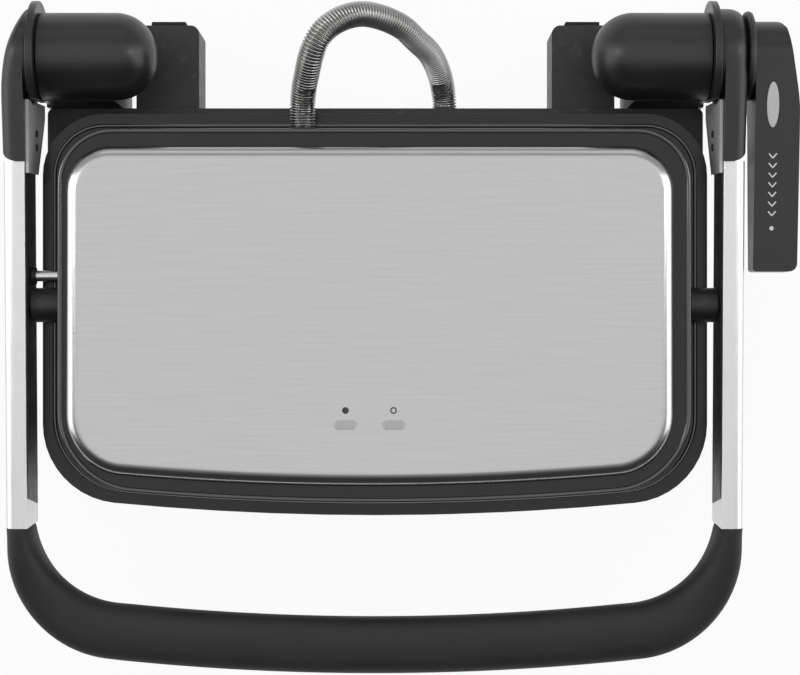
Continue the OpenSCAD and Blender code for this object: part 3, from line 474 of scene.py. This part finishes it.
# %% The side view of a cap
def cap_outline(radius, half_high, length, steps=40, flank_steps=12):
    """A round head that runs over two straight flanks into a flat front end."""
    corner = math.atan2(half_high, -length)
    touch = corner - math.acos(radius / math.hypot(length, half_high))
    points = []
    for step in range(steps + 1):
        angle = touch - 2 * touch * step / steps
        points.append((radius * math.cos(angle), radius * math.sin(angle)))
    flank = []
    for step in range(1, flank_steps + 1):
        share = step / flank_steps
        flank.append((
            points[-1][0] + (-length - points[-1][0]) * share,
            points[-1][1] + (-half_high - points[-1][1]) * share,
        ))
    return points + flank + [(y, -z) for y, z in reversed(flank)]


# %% A ring round the hinge, and the way into place
def turned_ring(profile, steps=72):
    """Turns a closed profile of (x, radius) points about the hinge axis."""
    bm = bmesh.new()
    verts = [bm.verts.new((x, radius, 0)) for x, radius in profile]
    edges = [bm.edges.new(pair) for pair in zip(verts, verts[1:] + verts[:1])]
    bmesh.ops.spin(
        bm, geom=verts + edges, cent=(0, 0, 0), axis=(1, 0, 0),
        angle=2 * math.pi, steps=steps, use_merge=True,
    )
    return bm


def set_in_arm(bm, side):
    """Moves a bar from the right arm's own frame to its place, mirrored for the left."""
    for vert in bm.verts:
        vert.co = from_arm(side * vert.co.x, vert.co.y, vert.co.z)
    bmesh.ops.recalc_face_normals(bm, faces=bm.faces)


# %% A cap, its bore and its inner rim
ARM_IN, CAP_OUT, ARM_OUT = 153.2 * MM, 163.5 * MM, 163.2 * MM
HEAD_IN, BORE_R = 1.7 * MM, 8.55 * MM
CAP_R, CAP_HALF, CAP_L = 21 * MM, 15.3 * MM, 47 * MM
SWEEP_REACH, SWEEP_IN = 40 * MM, 9.4 * MM
LEFT_COVER = 5.8 * MM


def make_cap(name, sign):
    """The cap round one end of the hinge. sign is -1 for the left arm."""
    side_view = cap_outline(CAP_R, CAP_HALF, CAP_L)
    bm = d_shape(side_view, ARM_IN, CAP_OUT, depth=7 * MM, inset=5 * MM)
    for vert in bm.verts:
        behind = (vert.co.y - CAP_R) / SWEEP_REACH + 1
        if sign < 0 and behind > 0:
            outward = (vert.co.x - ARM_IN) / (CAP_OUT - ARM_IN)
            vert.co.x -= SWEEP_IN * behind ** 2 * outward
    set_in_arm(bm, sign)
    made = piece(name + "_finished", bm, "handle", "satin_black", stands_for=[name], crease=50)
    bore = bmesh.new()
    drum = bmesh.ops.create_cone(
        bore, cap_ends=True, segments=48, radius1=BORE_R, radius2=BORE_R, depth=1.0
    )["verts"]
    bmesh.ops.rotate(bore, verts=drum, matrix=Matrix.Rotation(math.pi / 2, 3, "Y"))
    bore_end = CAP_OUT + 1 * MM if sign > 0 else CAP_OUT - LEFT_COVER
    for vert in drum:
        vert.co.x = sign * (ARM_IN - 5 * MM if vert.co.x < 0 else bore_end)
        vert.co = from_arm(*vert.co)
    bmesh.ops.recalc_face_normals(bore, faces=bore.faces)
    cut_away(made, bore)


def make_rim(name, sign):
    """The low round rim that a cap's head shows towards the barrel."""
    root, rim = ARM_IN + 0.4 * MM, ARM_IN - HEAD_IN
    bm = turned_ring([
        (root, BORE_R), (rim, BORE_R), (rim, CAP_R - 0.9 * MM),
        (rim + 0.25 * MM, CAP_R - 0.3 * MM), (rim + 0.9 * MM, CAP_R), (root, CAP_R),
    ])
    set_in_arm(bm, sign)
    piece(name + "_head", bm, "handle", "satin_black", stands_for=[name], crease=50)


# %% A sleeve, and both arms
SLEEVE_END, SLEEVE_HALF = -209.17 * MM, 14 * MM


def make_sleeve(name, sign):
    """The aluminium sleeve between a cap and the grip."""
    outline = [
        (SLEEVE_END, -SLEEVE_HALF), (SLEEVE_END, SLEEVE_HALF),
        (-CAP_L, SLEEVE_HALF), (-CAP_L, -SLEEVE_HALF),
    ]
    bm = d_shape(outline, ARM_IN + 0.3 * MM, ARM_OUT, depth=5 * MM, inset=3.2 * MM)
    soften(bm, 0.4, 2, lambda p: p.x < ARM_IN + 0.4 * MM and abs(p.z) > 13 * MM, angle=60)
    for vert in bm.verts:  # the insets drew the ends in, but a sawn end is square
        vert.co.y = SLEEVE_END if vert.co.y < (SLEEVE_END - CAP_L) / 2 else -CAP_L
    set_in_arm(bm, sign)
    piece(name + "_finished", bm, "handle", "bright_aluminium", stands_for=[name], crease=50)


for side, sign in (("left", -1), ("right", 1)):
    make_cap("arm_cap_" + side, sign)
    make_rim("arm_cap_" + side, sign)
    make_sleeve("arm_sleeve_" + side, sign)
print(f"arms {(ARM_OUT - ARM_IN) / MM:.0f} mm deep, caps {2 * CAP_R / MM:.0f} mm round")

# %% [markdown]
# ## The steel skin
#
# The skin is a sheet pressed over a die: flat on top, bowed at the front and rolled
# down all round. It starts as a rectangle with bevelled corners, whose front edge is cut
# into short lengths and moved along the bow. One extrusion gives it height, and small
# insets that rise along a quarter of an ellipse give the roll, which a bevel would make
# round. The windows are then cut through with a Boolean.

# %% Press the skin
skin_low, skin_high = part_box("lid_skin")
BOW = 1250 * MM


def bowed_panel(half, back, front, back_radius, front_radius, bottom):
    """A flat panel with round corners and a bowed front edge."""
    bm = bmesh.new()
    corners = [
        bm.verts.new((x, y, 0))
        for x, y in ((half, back), (-half, back), (-half, front), (half, front))
    ]
    bm.faces.new(corners)
    for group, radius in ((corners[:2], back_radius), (corners[2:], front_radius)):
        bmesh.ops.bevel(
            bm, geom=group, offset=radius, segments=12, profile=0.5,
            affect="VERTICES", material=-1,
        )
    long_front = [
        edge for edge in bm.edges
        if edge.calc_length() > half and (edge.verts[0].co.y + edge.verts[1].co.y) / 2 < front / 2
    ]
    bmesh.ops.subdivide_edges(bm, edges=long_front, cuts=23)
    for vert in bm.verts:
        if vert.co.y < 0:
            vert.co.y += vert.co.x ** 2 / (2 * BOW)
        vert.co.z = bottom
    return bm


def raise_panel(bm, height, depth, inset, steps=10):
    """Extrudes the panel upwards and rolls its upper edge along a quarter ellipse."""
    lifted = bmesh.ops.extrude_face_region(bm, geom=bm.faces[:])["geom"]
    face = next(item for item in lifted if isinstance(item, bmesh.types.BMFace))
    bmesh.ops.translate(bm, verts=face.verts, vec=(0, 0, height - depth))
    for step in range(steps):
        before, after = (math.radians(90 * (step + k) / steps) for k in (0, 1))
        bmesh.ops.inset_region(
            bm, faces=[face], use_even_offset=True,
            thickness=inset * (math.cos(before) - math.cos(after)),
        )
        bmesh.ops.translate(
            bm, verts=face.verts, vec=(0, 0, depth * (math.sin(after) - math.sin(before)))
        )


lid_mid_y = middle("pivot_boss_left").y
bm = bowed_panel(
    (skin_high.x - skin_low.x) / 2, skin_high.y - lid_mid_y, skin_low.y - lid_mid_y,
    20 * MM, 24 * MM, skin_low.z,
)
ROLL_DEPTH, ROLL_INSET = 4.8 * MM, 6.6 * MM
raise_panel(bm, skin_high.z - skin_low.z, ROLL_DEPTH, ROLL_INSET)
bmesh.ops.translate(bm, verts=bm.verts, vec=((skin_low.x + skin_high.x) / 2, lid_mid_y, 0))
bmesh.ops.recalc_face_normals(bm, faces=bm.faces)
skin = piece("lid_skin_finished", bm, "lid", "brushed_skin", stands_for=["lid_skin"])
print(f"skin {(skin_high.x - skin_low.x) / MM:.0f} mm wide")


# %% Cut the lamp windows through the skin
def obround(bm, centre, length, width, bottom, height, segments=12):
    """A slot-shaped block: a circle pulled apart into two ends, then extruded."""
    ring = bmesh.ops.create_circle(bm, cap_ends=True, radius=width / 2, segments=4 * segments)
    for vert in ring["verts"]:
        vert.co.x += math.copysign((length - width) / 2, vert.co.x)
    face = ring["verts"][0].link_faces[0]
    bmesh.ops.translate(bm, verts=ring["verts"], vec=(centre.x, centre.y, bottom))
    lifted = bmesh.ops.extrude_face_region(bm, geom=[face])["geom"]
    verts = [item for item in lifted if isinstance(item, bmesh.types.BMVert)]
    bmesh.ops.translate(bm, verts=verts, vec=(0, 0, height))
    bmesh.ops.recalc_face_normals(bm, faces=bm.faces)


windows = [middle("left_lens"), middle("right_lens")]
cutter_bm = bmesh.new()
for window in windows:
    obround(cutter_bm, window, 10 * MM, 4 * MM, skin_high.z - 3 * MM, 5 * MM)
cut_away(skin, cutter_bm)
print(f"windows at {[round(window.x / MM, 1) for window in windows]} mm")

# %% [markdown]
# ## The bright lines round the lid
#
# The shell has two raised lips: one where its flange steps down, and one round the top
# of its wall. They are glossy, and each catches a line of light. A lip is a ring of the
# same outline as the lid, about two millimetres wide, with both edges rounded. Insetting
# the whole panel leaves such a ring, because it starts as one face with an open border.

# %% Raise the two lips
def lip(half, back, front, back_radius, front_radius, bottom, width, height):
    """A ring of the panel's outline, raised and rounded on both edges."""
    bm = bowed_panel(half, back, front, back_radius, front_radius, bottom)
    inner = bm.faces[:]
    ring = bmesh.ops.inset_region(
        bm, faces=inner, thickness=width, use_even_offset=True, use_boundary=True
    )["faces"]
    bmesh.ops.delete(bm, geom=inner, context="FACES_ONLY")
    lifted = bmesh.ops.extrude_face_region(bm, geom=ring)["geom"]
    top = [item for item in lifted if isinstance(item, bmesh.types.BMVert)]
    bmesh.ops.translate(bm, verts=top, vec=(0, 0, height))
    rim = [
        edge for edge in bm.edges
        if all(vert.co.z > bottom + height / 2 for vert in edge.verts)
        and edge.calc_face_angle(0) > math.radians(50)
    ]
    bmesh.ops.bevel(
        bm, geom=rim, offset=width * 0.4, offset_type="OFFSET", segments=5,
        profile=0.5, affect="EDGES", clamp_overlap=True, material=-1,
    )
    bmesh.ops.recalc_face_normals(bm, faces=bm.faces)
    return bm


LIP_BLACK = finish(
    "Polished edge of the lid", grey(30), grey(36), (0.1, 0.18), grain=0.35, depth=0.002,
    specular=0.9,
)
LIP_BLACK.node_tree.nodes["Principled BSDF"].inputs["IOR"].default_value = 1.55
lid_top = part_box("lid_shell")[1].z
LIP_ROOT, LIP_H = 1.6 * MM, 2.3 * MM
for name, outline, step_down, width in (
    ("flange_lip", (145.6, 82.1, -90.1, 23.2, 31.2), 25 * MM, 1.8 * MM),
    ("wall_lip", (139.4, 77.6, -87.2, 24, 32), 0, 2.2 * MM),
):
    bm = lip(*(size * MM for size in outline), lid_top - step_down - LIP_ROOT, width, LIP_H)
    bmesh.ops.translate(bm, verts=bm.verts, vec=(MID_X, lid_mid_y, 0))
    piece("lid_" + name, bm, "lid", "black_plastic", LIP_BLACK, stands_for=["lid_shell"])
    print(f"{name} {width / MM:.1f} mm wide")

# %% [markdown]
# ## The grip
#
# The grip starts as an upright blade round each arm and turns, round the corner, into
# a flat oval across the front. A ring of points is scaled to the blade or to the oval,
# set down at one station after another along the middle line, and the rings are
# bridged. The change between the two sections is eased, so that it shows no kink.

# %% The middle line of the grip and the radii of its corners
GRIP_MID, GRIP_D, GRIP_BOW = -263.25 * MM, 25.3 * MM, 1100 * MM
IN_R, OUT_R, GRIP_OUT = 42 * MM, 50 * MM, 164.2 * MM
GRIP_X = (ARM_IN + GRIP_OUT) / 2


def bow(x):
    """The middle line of the grip's front, which bows forwards in the middle."""
    return GRIP_MID + x ** 2 / (2 * GRIP_BOW)


in_lean = math.asin((ARM_IN - IN_R) / GRIP_BOW)
out_lean = math.asin((GRIP_OUT - OUT_R) / GRIP_BOW)
in_run_x = IN_R - ARM_IN - IN_R * math.sin(in_lean)
out_run_x = OUT_R - GRIP_OUT - OUT_R * math.sin(out_lean)
IN_AT = Vector((IN_R - ARM_IN, bow(in_run_x) + GRIP_D / 2 + IN_R * math.cos(in_lean)))
OUT_AT = Vector((OUT_R - GRIP_OUT, bow(out_run_x) - GRIP_D / 2 + OUT_R * math.cos(out_lean)))
print(f"grip corners of {IN_R / MM:.0f} mm inside and {OUT_R / MM:.0f} mm outside")


# %% Stations along the grip's middle line
OVAL_EARLY = 1.45


def ease(share):
    """Eases a share from 0 to 1, so that it starts and stops softly."""
    return share * share * (3 - 2 * share)


def grip_depth(p, n):
    """Depth at an inner point p with outward normal n: to the side, the corner or the front."""
    side = (-GRIP_OUT - p.x) / n.x
    if p.y + side * n.y > OUT_AT.y:
        return side
    d = p - OUT_AT
    corner = math.sqrt(max(0, d.dot(n) ** 2 - d.dot(d) + OUT_R ** 2)) - d.dot(n)
    if p.x + corner * n.x < out_run_x:
        return corner
    return (p.y - bow(p.x - GRIP_D * n.x / n.y) + GRIP_D / 2) / -n.y


def grip_stations():
    """Each station is (x, y, heading, half depth, share of the change to the oval)."""
    overlap = 0.2 * MM
    half = [(-GRIP_X, SLEEVE_END, -math.pi / 2, (GRIP_OUT - ARM_IN) / 2 + overlap, 0.0)]
    turns, runs = 30, 22
    start = math.pi + math.asin((IN_AT.y - SLEEVE_END) / IN_R)
    for step in range(1, turns + 1):
        share = step / turns
        angle = start + share * (1.5 * math.pi - in_lean - start)
        n = Vector((math.cos(angle), math.sin(angle)))
        p = IN_AT + IN_R * n
        depth = grip_depth(p, n) / 2
        at = p + depth * n
        change = ease(min(1, OVAL_EARLY * share))
        half.append((at.x, at.y, angle + math.pi / 2, depth, change))
    first = in_run_x - GRIP_D / 2 * math.sin(in_lean)
    for step in range(1, runs + 1):
        x = first * (1 - step / runs)
        half.append((x, bow(x), math.asin(x / GRIP_BOW), GRIP_D / 2, 1.0))
    mirrored = [(-x, y, -heading, *rest) for x, y, heading, *rest in reversed(half[:-1])]
    return half + mirrored


# %% Skin the grip over its stations
def bulge(value, power=0.8):
    """Moves a coordinate on the unit circle outwards, towards a rounded square."""
    return math.copysign(abs(value) ** power, value)


BLADE_HALF, OVAL_HALF = 14.3 * MM, 10.0 * MM


def grip_ring(bm, station, sides=32):
    """One ring of points round the grip, at its station."""
    x, y, heading, half_wide, share = station
    half_high = BLADE_HALF + (OVAL_HALF - BLADE_HALF) * share
    ring = bmesh.ops.create_circle(bm, cap_ends=False, radius=1.0, segments=sides)["verts"]
    for vert in ring:
        across = half_wide * bulge(vert.co.x)
        up = half_high * bulge(vert.co.y)
        vert.co = from_arm(
            x - across * math.sin(heading), y + across * math.cos(heading), up
        )
    return ring


def ring_edges(ring):
    """The edges between the points of one ring."""
    members = set(ring)
    return [
        edge for edge in {edge for vert in ring for edge in vert.link_edges}
        if edge.verts[0] in members and edge.verts[1] in members
    ]


def skin_over(bm, rings):
    """Bridges one ring to the next and closes both ends."""
    for first, second in zip(rings, rings[1:]):
        bmesh.ops.bridge_loops(bm, edges=ring_edges(first) + ring_edges(second))
    for end in (rings[0], rings[-1]):
        bmesh.ops.contextual_create(bm, geom=ring_edges(end))


bm = bmesh.new()
rings = [grip_ring(bm, station) for station in grip_stations()]
skin_over(bm, rings)
bmesh.ops.recalc_face_normals(bm, faces=bm.faces)
soften(bm, 0.6, 2, angle=60)
grip = piece("grip_finished", bm, "handle", "soft_grip", stands_for=["grip"], crease=50)
print(f"grip of {len(grip.data.polygons)} faces over {len(rings)} stations")

# %% [markdown]
# ## The lock lever
#
# A lever of moulded plastic beside the right arm holds the lid shut. It has a soft
# outer edge, a thin oval plate let into its top, and a printed row that shows which
# way it is pressed. Here the row is a dot and plain chevrons.

# %% Round the lever
lever_low, lever_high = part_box("lock_lever")


def on_lever_outside(point):
    """Whether an edge is on the upper outer side of the lever or at its front end."""
    high = point.z > HINGE.z - 6 * MM
    return high and (point.x > lever_high.x - 7.5 * MM or point.y < lever_low.y + 1 * MM)


bm = merged_copy("lock_lever")
drop_slivers(bm, 0.4)
soften(bm, 3.2, 6, on_lever_outside, angle=40)
soften(bm, 1.4, 4, lambda p: p.x < lever_low.x + 1.6 * MM and p.z > HINGE.z - 2 * MM)
soften(bm, 0.4)
lever = piece("lock_lever_finished", bm, "lever", "satin_black", stands_for=["lock_lever"])
print(f"lever of {len(lever.data.polygons)} faces")

# %% Lay the oval in at the lever's own pitch
inlay_low, inlay_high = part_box("lever_inlay")
inlay_mid = (inlay_low + inlay_high) / 2
inlay_floor = inlay_mid.z - 0.3 * MM
front_top = max(
    vert.co.z for vert in nodes["lock_lever"].data.vertices
    if vert.co.y < lever_low.y + 1 * MM
)
lever_pitch = math.atan2(inlay_floor - front_top, inlay_mid.y - lever_low.y)


def lever_top(y):
    """Height of the lever's upper face at y, measured on the solid."""
    return inlay_floor + math.tan(lever_pitch) * (y - inlay_mid.y)


bm = bmesh.new()
oval = bmesh.ops.create_circle(bm, cap_ends=True, radius=1.0, segments=56)["verts"]
OVAL_X, OVAL_Y, OVAL_H = 2.7 * MM, 10 * MM, 0.6 * MM
bmesh.ops.scale(bm, verts=oval, vec=(OVAL_X, OVAL_Y, 1))
lifted = bmesh.ops.extrude_face_region(bm, geom=bm.faces[:])["geom"]
top = [item for item in lifted if isinstance(item, bmesh.types.BMVert)]
bmesh.ops.translate(bm, verts=top, vec=(0, 0, OVAL_H))
bmesh.ops.recalc_face_normals(bm, faces=bm.faces)
soften(bm, 0.3, 3)
bmesh.ops.rotate(bm, verts=bm.verts, matrix=Matrix.Rotation(lever_pitch, 3, "X"))
bmesh.ops.translate(
    bm, verts=bm.verts, vec=(inlay_mid.x, inlay_mid.y, lever_top(inlay_mid.y))
)
piece("lever_inlay_finished", bm, "lever", "grey_metal", stands_for=["lever_inlay"])
print(f"lever pitch {math.degrees(lever_pitch):.2f} degrees")


# %% Two printed shapes: a disc and a bar
INK = 0.05 * MM


def print_disc(bm, centre, radius, inner=0.0, pitch=0.0):
    """A flat printed dot, or a ring where inner is more than nothing."""
    made = []
    for size in (radius, inner) if inner else (radius,):
        made += bmesh.ops.create_circle(
            bm, cap_ends=not inner, radius=size * MM, segments=32
        )["verts"]
    if inner:
        both = list({edge for vert in made for edge in vert.link_edges})
        bmesh.ops.bridge_loops(bm, edges=both)
    flat = list({face for vert in made for face in vert.link_faces})
    lifted = bmesh.ops.extrude_face_region(bm, geom=flat)["geom"]
    upper = [item for item in lifted if isinstance(item, bmesh.types.BMVert)]
    bmesh.ops.translate(bm, verts=upper, vec=(0, 0, INK))
    everything = made + upper
    bmesh.ops.rotate(bm, verts=everything, matrix=Matrix.Rotation(pitch, 3, "X"))
    bmesh.ops.translate(bm, verts=everything, vec=centre)


def print_bar(bm, start, end, width):
    """A flat printed bar between two points."""
    start, end = Vector(start), Vector(end)
    along = end - start
    bar = bmesh.ops.create_cube(bm, size=1.0)["verts"]
    bmesh.ops.scale(bm, verts=bar, vec=(along.length, width * MM, INK))
    turn = Vector((1, 0, 0)).rotation_difference(along.normalized()).to_matrix()
    bmesh.ops.rotate(bm, verts=bar, matrix=turn)
    bmesh.ops.translate(bm, verts=bar, vec=(start + end) / 2)


# %% Print the lever's row
CHEVRONS, FIRST_TIP, TIP_STEP = 7, 5.5, 4.2
WING_BACK, WING_OUT = 2.0 * MM, 1.7 * MM
mark_x = inlay_mid.x + 0.4 * MM
bm = bmesh.new()
dot_y = lever_low.y + 19 * MM
print_disc(bm, (mark_x, dot_y, lever_top(dot_y)), 0.95, pitch=lever_pitch)
for step in range(CHEVRONS):
    tip_y = dot_y + (FIRST_TIP + TIP_STEP * step) * MM
    wing_y = tip_y + WING_BACK
    tip = (mark_x, tip_y, lever_top(tip_y))
    for side in (-1, 1):
        wing = (mark_x + side * WING_OUT, wing_y, lever_top(wing_y))
        print_bar(bm, tip, wing, 0.55)
bmesh.ops.recalc_face_normals(bm, faces=bm.faces)
piece("lever_marks", bm, "lever", material=PALE_INK)
print(f"a dot and {CHEVRONS} chevrons on the lever")

# %% Print a mark behind each lamp
bm = bmesh.new()
MARK_BEHIND = 6.4 * MM
for window, inner in zip(windows, (0.0, 0.9)):
    spot = (window.x, window.y + MARK_BEHIND, skin_high.z)
    print_disc(bm, spot, 1.5, inner)
bmesh.ops.recalc_face_normals(bm, faces=bm.faces)
piece("lamp_marks", bm, "lid", material=DARK_INK)
print("a dot and a ring behind the lamps")

# %% [markdown]
# ## The ribbed conduit
#
# The wires to the lid's element run in a wound metal conduit. It leaves the back of the
# base, loops up behind the hinge and enters the lid, and bends at the handle's hinge and
# again, a little, at the lid's own pivots. One rib is a short profile spun into a ring,
# and the ring is repeated into a straight tube, which is then laid along the route. The
# tube is made in two stretches, which meet at the rearmost rib. The route is drawn in
# millimetres, with the hinge at Y 110.4.

# %% The route of the conduit
ROUTE = [Vector(point) * MM for point in (
    (32, 88.3, 40), (32, 93.5, 40), (31.5, 99, 41.2), (30.4, 104.6, 44.5), (28, 110.5, 51),
    (24.5, 115.5, 59), (18.6, 119.8, 68), (12.5, 124.3, 76), (4.4, 127.2, 83),
    (-4.6, 128.3, 89), (-13.1, 126.1, 93.5), (-20.4, 121.5, 96), (-25, 115.7, 96.5),
    (-27.8, 109, 94), (-30, 101, 88), (-31.3, 95.5, 84), (-32, 88.7, 81), (-32, 81.7, 80),
    (-32, 75.2, 80),
)]
ROUTE_HINGE_Y = 110.4 * MM
ROUTE_SHIFT = Vector((MID_X, HINGE.y - ROUTE_HINGE_Y, 0))


def smooth_route(points, steps=12):
    """A smooth curve through the points, as a list of close points."""
    out = []
    for index in range(len(points) - 1):
        p = points[max(index - 1, 0)]
        q, r = points[index], points[index + 1]
        s = points[min(index + 2, len(points) - 1)]
        for step in range(steps):
            t = step / steps
            out.append(0.5 * (
                2 * q + (r - p) * t + (2 * p - 5 * q + 4 * r - s) * t * t
                + (3 * q - p - 3 * r + s) * t ** 3
            ))
    return out + [points[-1]]


route = [point + ROUTE_SHIFT for point in smooth_route(ROUTE)]
reach = [0.0]
for first, second in zip(route, route[1:]):
    reach.append(reach[-1] + (second - first).length)
CONDUIT_LENGTH = reach[-1]


def on_route(distance):
    """The point of the route at a distance along it."""
    distance = min(max(distance, 0.0), CONDUIT_LENGTH)
    index = next(i for i in range(1, len(reach)) if reach[i] >= distance - 1e-12)
    share = (distance - reach[index - 1]) / (reach[index] - reach[index - 1])
    return route[index - 1].lerp(route[index], share)


def route_frame(distance):
    """The point of the route, and two directions across it."""
    along = (on_route(distance + 1 * MM) - on_route(distance - 1 * MM)).normalized()
    side = Vector((0.8, 0, 1)).normalized()
    across = (side - side.dot(along) * along).normalized()
    return on_route(distance), across, along.cross(across)


print(f"route of {len(route)} points, {CONDUIT_LENGTH / MM:.0f} mm long")


# %% Spin one rib, repeat it and lay the tube along the route
RIBS = 115
VALLEY_R, FLANK_R, CREST_R = 4.75 * MM, 5.15 * MM, 5.66 * MM
pitch = CONDUIT_LENGTH / RIBS


def ribbed_tube(first, last, sides=28):
    """Ribs first to last of the conduit, as one open tube along its route."""
    bm = bmesh.new()
    profile = [
        bm.verts.new((share * pitch, 0, radius))
        for share, radius in (
            (0.0, VALLEY_R), (0.2, FLANK_R), (0.36, CREST_R),
            (0.64, CREST_R), (0.8, FLANK_R), (1.0, VALLEY_R),
        )
    ]
    edges = [bm.edges.new(pair) for pair in zip(profile, profile[1:])]
    bmesh.ops.spin(
        bm, geom=profile + edges, cent=(0, 0, 0), axis=(1, 0, 0),
        angle=2 * math.pi, steps=sides, use_merge=True,
    )
    rib = bm.verts[:] + bm.edges[:] + bm.faces[:]
    for number in range(1, last - first):
        copied = bmesh.ops.duplicate(bm, geom=rib)["geom"]
        verts = [item for item in copied if isinstance(item, bmesh.types.BMVert)]
        bmesh.ops.translate(bm, verts=verts, vec=(number * pitch, 0, 0))
    bmesh.ops.remove_doubles(bm, verts=bm.verts, dist=DOUBLES)
    bmesh.ops.recalc_face_normals(bm, faces=bm.faces)
    for vert in bm.verts:
        distance = first * pitch + vert.co.x
        centre, across, third = route_frame(distance)
        vert.co = centre + across * vert.co.z + third * vert.co.y
    return bm


# %% Two stretches, which meet at the rearmost rib
rearmost = max(point.y for point in route)
top_rib = min(range(RIBS), key=lambda rib: abs(on_route(rib * pitch).y - rearmost))
rear = piece(
    "conduit_rear", ribbed_tube(0, top_rib), None, "conduit_steel",
    stands_for=["conduit"], crease=70,
)
front = piece(
    "conduit_front", ribbed_tube(top_rib, RIBS), None, "conduit_steel",
    stands_for=["conduit"], crease=70,
)
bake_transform(rear)
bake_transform(front)
print(f"the two stretches meet at rib {top_rib} of {RIBS}")

# %% [markdown]
# ## Finishes for the solids that stay
#
# The parts inside, such as the elements, reflectors and the thermostat, are seen only
# when the lid is up or from below. Their solids stay as they are and take the finish
# that the record names for them.

# %% Give every remaining solid its finish
for node, solid in nodes.items():
    solid.data.materials.clear()
    solid.data.materials.append(FINISHES[slot_of[node]])
print(f"{sum(not solid.hide_render for solid in nodes.values())} solids shown as they are")

# %% [markdown]
# ## Floor, light and camera
#
# A catalogue picture has a white ground and a wide soft light from above. The floor
# shows nearly white to the camera and in reflections, and still takes the machine's
# shadow. A wide lamp on each side draws a bright line down the rolled edge of the steel
# and the arm, and a small one above it gives the round black parts their highlights.

# %% A pale floor that keeps the shadow
GLOW_SHARE, FLOOR_HALF, FLOOR_Z = 0.93, 6.0, -0.2 * MM


def pale_floor(name):
    """White paper that glows for the camera and mirrors, and is lit paper for the rest."""
    material = bpy.data.materials.new(name)
    material.use_nodes = True
    tree = material.node_tree
    tree.nodes.clear()
    rays = add(tree, "LightPath").outputs
    seen = rays["Is Camera Ray"]
    for kind in ("Is Glossy Ray", "Is Transmission Ray"):
        seen = add(
            tree, "Math", {0: seen, 1: rays[kind]}, operation="MAXIMUM"
        ).outputs["Value"]
    share = add(tree, "Math", {0: seen, 1: GLOW_SHARE}, operation="MULTIPLY").outputs["Value"]
    paper = add(tree, "BsdfDiffuse", {"Color": (0.8, 0.8, 0.8, 1)}).outputs["BSDF"]
    glow = add(tree, "Emission", {"Color": (1, 1, 1, 1), "Strength": 1.0}).outputs["Emission"]
    mixed = add(tree, "MixShader", {"Fac": share, 1: paper, 2: glow}).outputs["Shader"]
    add(tree, "OutputMaterial", {"Surface": mixed})
    return material


bm = bmesh.new()
bmesh.ops.create_grid(bm, x_segments=1, y_segments=1, size=FLOOR_HALF)
bmesh.ops.translate(bm, verts=bm.verts, vec=(0, 0, FLOOR_Z))
floor = piece("floor", bm, None, material=pale_floor("Pale floor"))
print(f"floor {2 * FLOOR_HALF:.0f} m wide")


# %% The sky behind everything
def studio_world():
    """Grey all round, lighter above and nearly black in front, as in a dark studio."""
    world = bpy.data.worlds.new("Studio")
    bpy.context.scene.world = world
    world.use_nodes = True
    tree = world.node_tree
    tree.nodes.clear()
    rays = add(tree, "LightPath").outputs
    where = add(tree, "SeparateXYZ", {"Vector": add(tree, "TexCoord").outputs["Generated"]})
    forward = spread(tree, where.outputs["Y"], 0.0, 1.0, -0.5, 0.2)
    upward = spread(tree, where.outputs["Z"], 0.0, 1.0, 0.75, 0.97)
    level = add(tree, "Math", {0: forward, 1: upward}, operation="MAXIMUM").outputs["Value"]
    level = spread(tree, level, 0.05, 0.5, 0.0, 1.0)
    soft = add(tree, "Background", {"Color": (1, 1, 1, 1), "Strength": level})
    white = add(tree, "Background", {"Color": (1, 1, 1, 1), "Strength": 1.0})
    mixed = add(tree, "MixShader", {
        "Fac": rays["Is Camera Ray"], 1: soft.outputs[0], 2: white.outputs[0],
    })
    add(tree, "OutputWorld", {"Surface": mixed.outputs[0]})
    print(f"world {world.name} wired")


studio_world()


# %% The lamps
def lamp(name, place, size, radiance, aim=(0, 0, 0.05)):
    """A soft rectangular lamp that shows in reflections and not to the camera."""
    data = bpy.data.lights.new(name, "AREA")
    data.shape = "RECTANGLE"
    data.size, data.size_y = size
    data.energy = radiance * math.pi * size[0] * size[1]
    made = bpy.data.objects.new(name, data)
    made.location = place
    direction = Vector(aim) - Vector(place)
    made.rotation_euler = direction.to_track_quat("-Z", "Y").to_euler()
    made.visible_camera = False
    bpy.context.scene.collection.objects.link(made)
    print(f"{name} lamp, {size[0]} by {size[1]} m")


lamp("overhead", (0, 0.2, 2.3), (3.6, 2.2), 0.6)
lamp("left_side", (-1.5, 0.1, 0.6), (1.2, 1.0), 2.1)
lamp("right_side", (1.5, 0.1, 0.6), (1.2, 1.0), 2.1)
lamp("left_spot", (-1.15, 0.33, 1.25), (0.35, 0.35), 9.0)
lamp("right_spot", (1.15, 0.33, 1.25), (0.35, 0.35), 7.0)
lamp("rear_high", (0.0, 1.6, 1.1), (1.6, 0.6), 0.55)

# %% [markdown]
# ## The camera
#
# The picture was taken from straight above, with a long lens a good way off, so the
# tall parts lean outwards only a little. A camera without any turn looks straight down.

# %% The camera, straight above
camera_data = bpy.data.cameras.new("camera")
camera_data.sensor_width = 36
camera_data.lens = 92.88
camera_data.clip_start, camera_data.clip_end = 0.01, 30
camera = bpy.data.objects.new("camera", camera_data)
camera.location = (-0.0004, 0.0007, 1.0)
bpy.context.scene.collection.objects.link(camera)
bpy.context.scene.camera = camera
bpy.context.scene.view_settings.view_transform = "Standard"
print(f"camera {camera.location.z:.1f} m up, lens {camera_data.lens:.1f} mm")
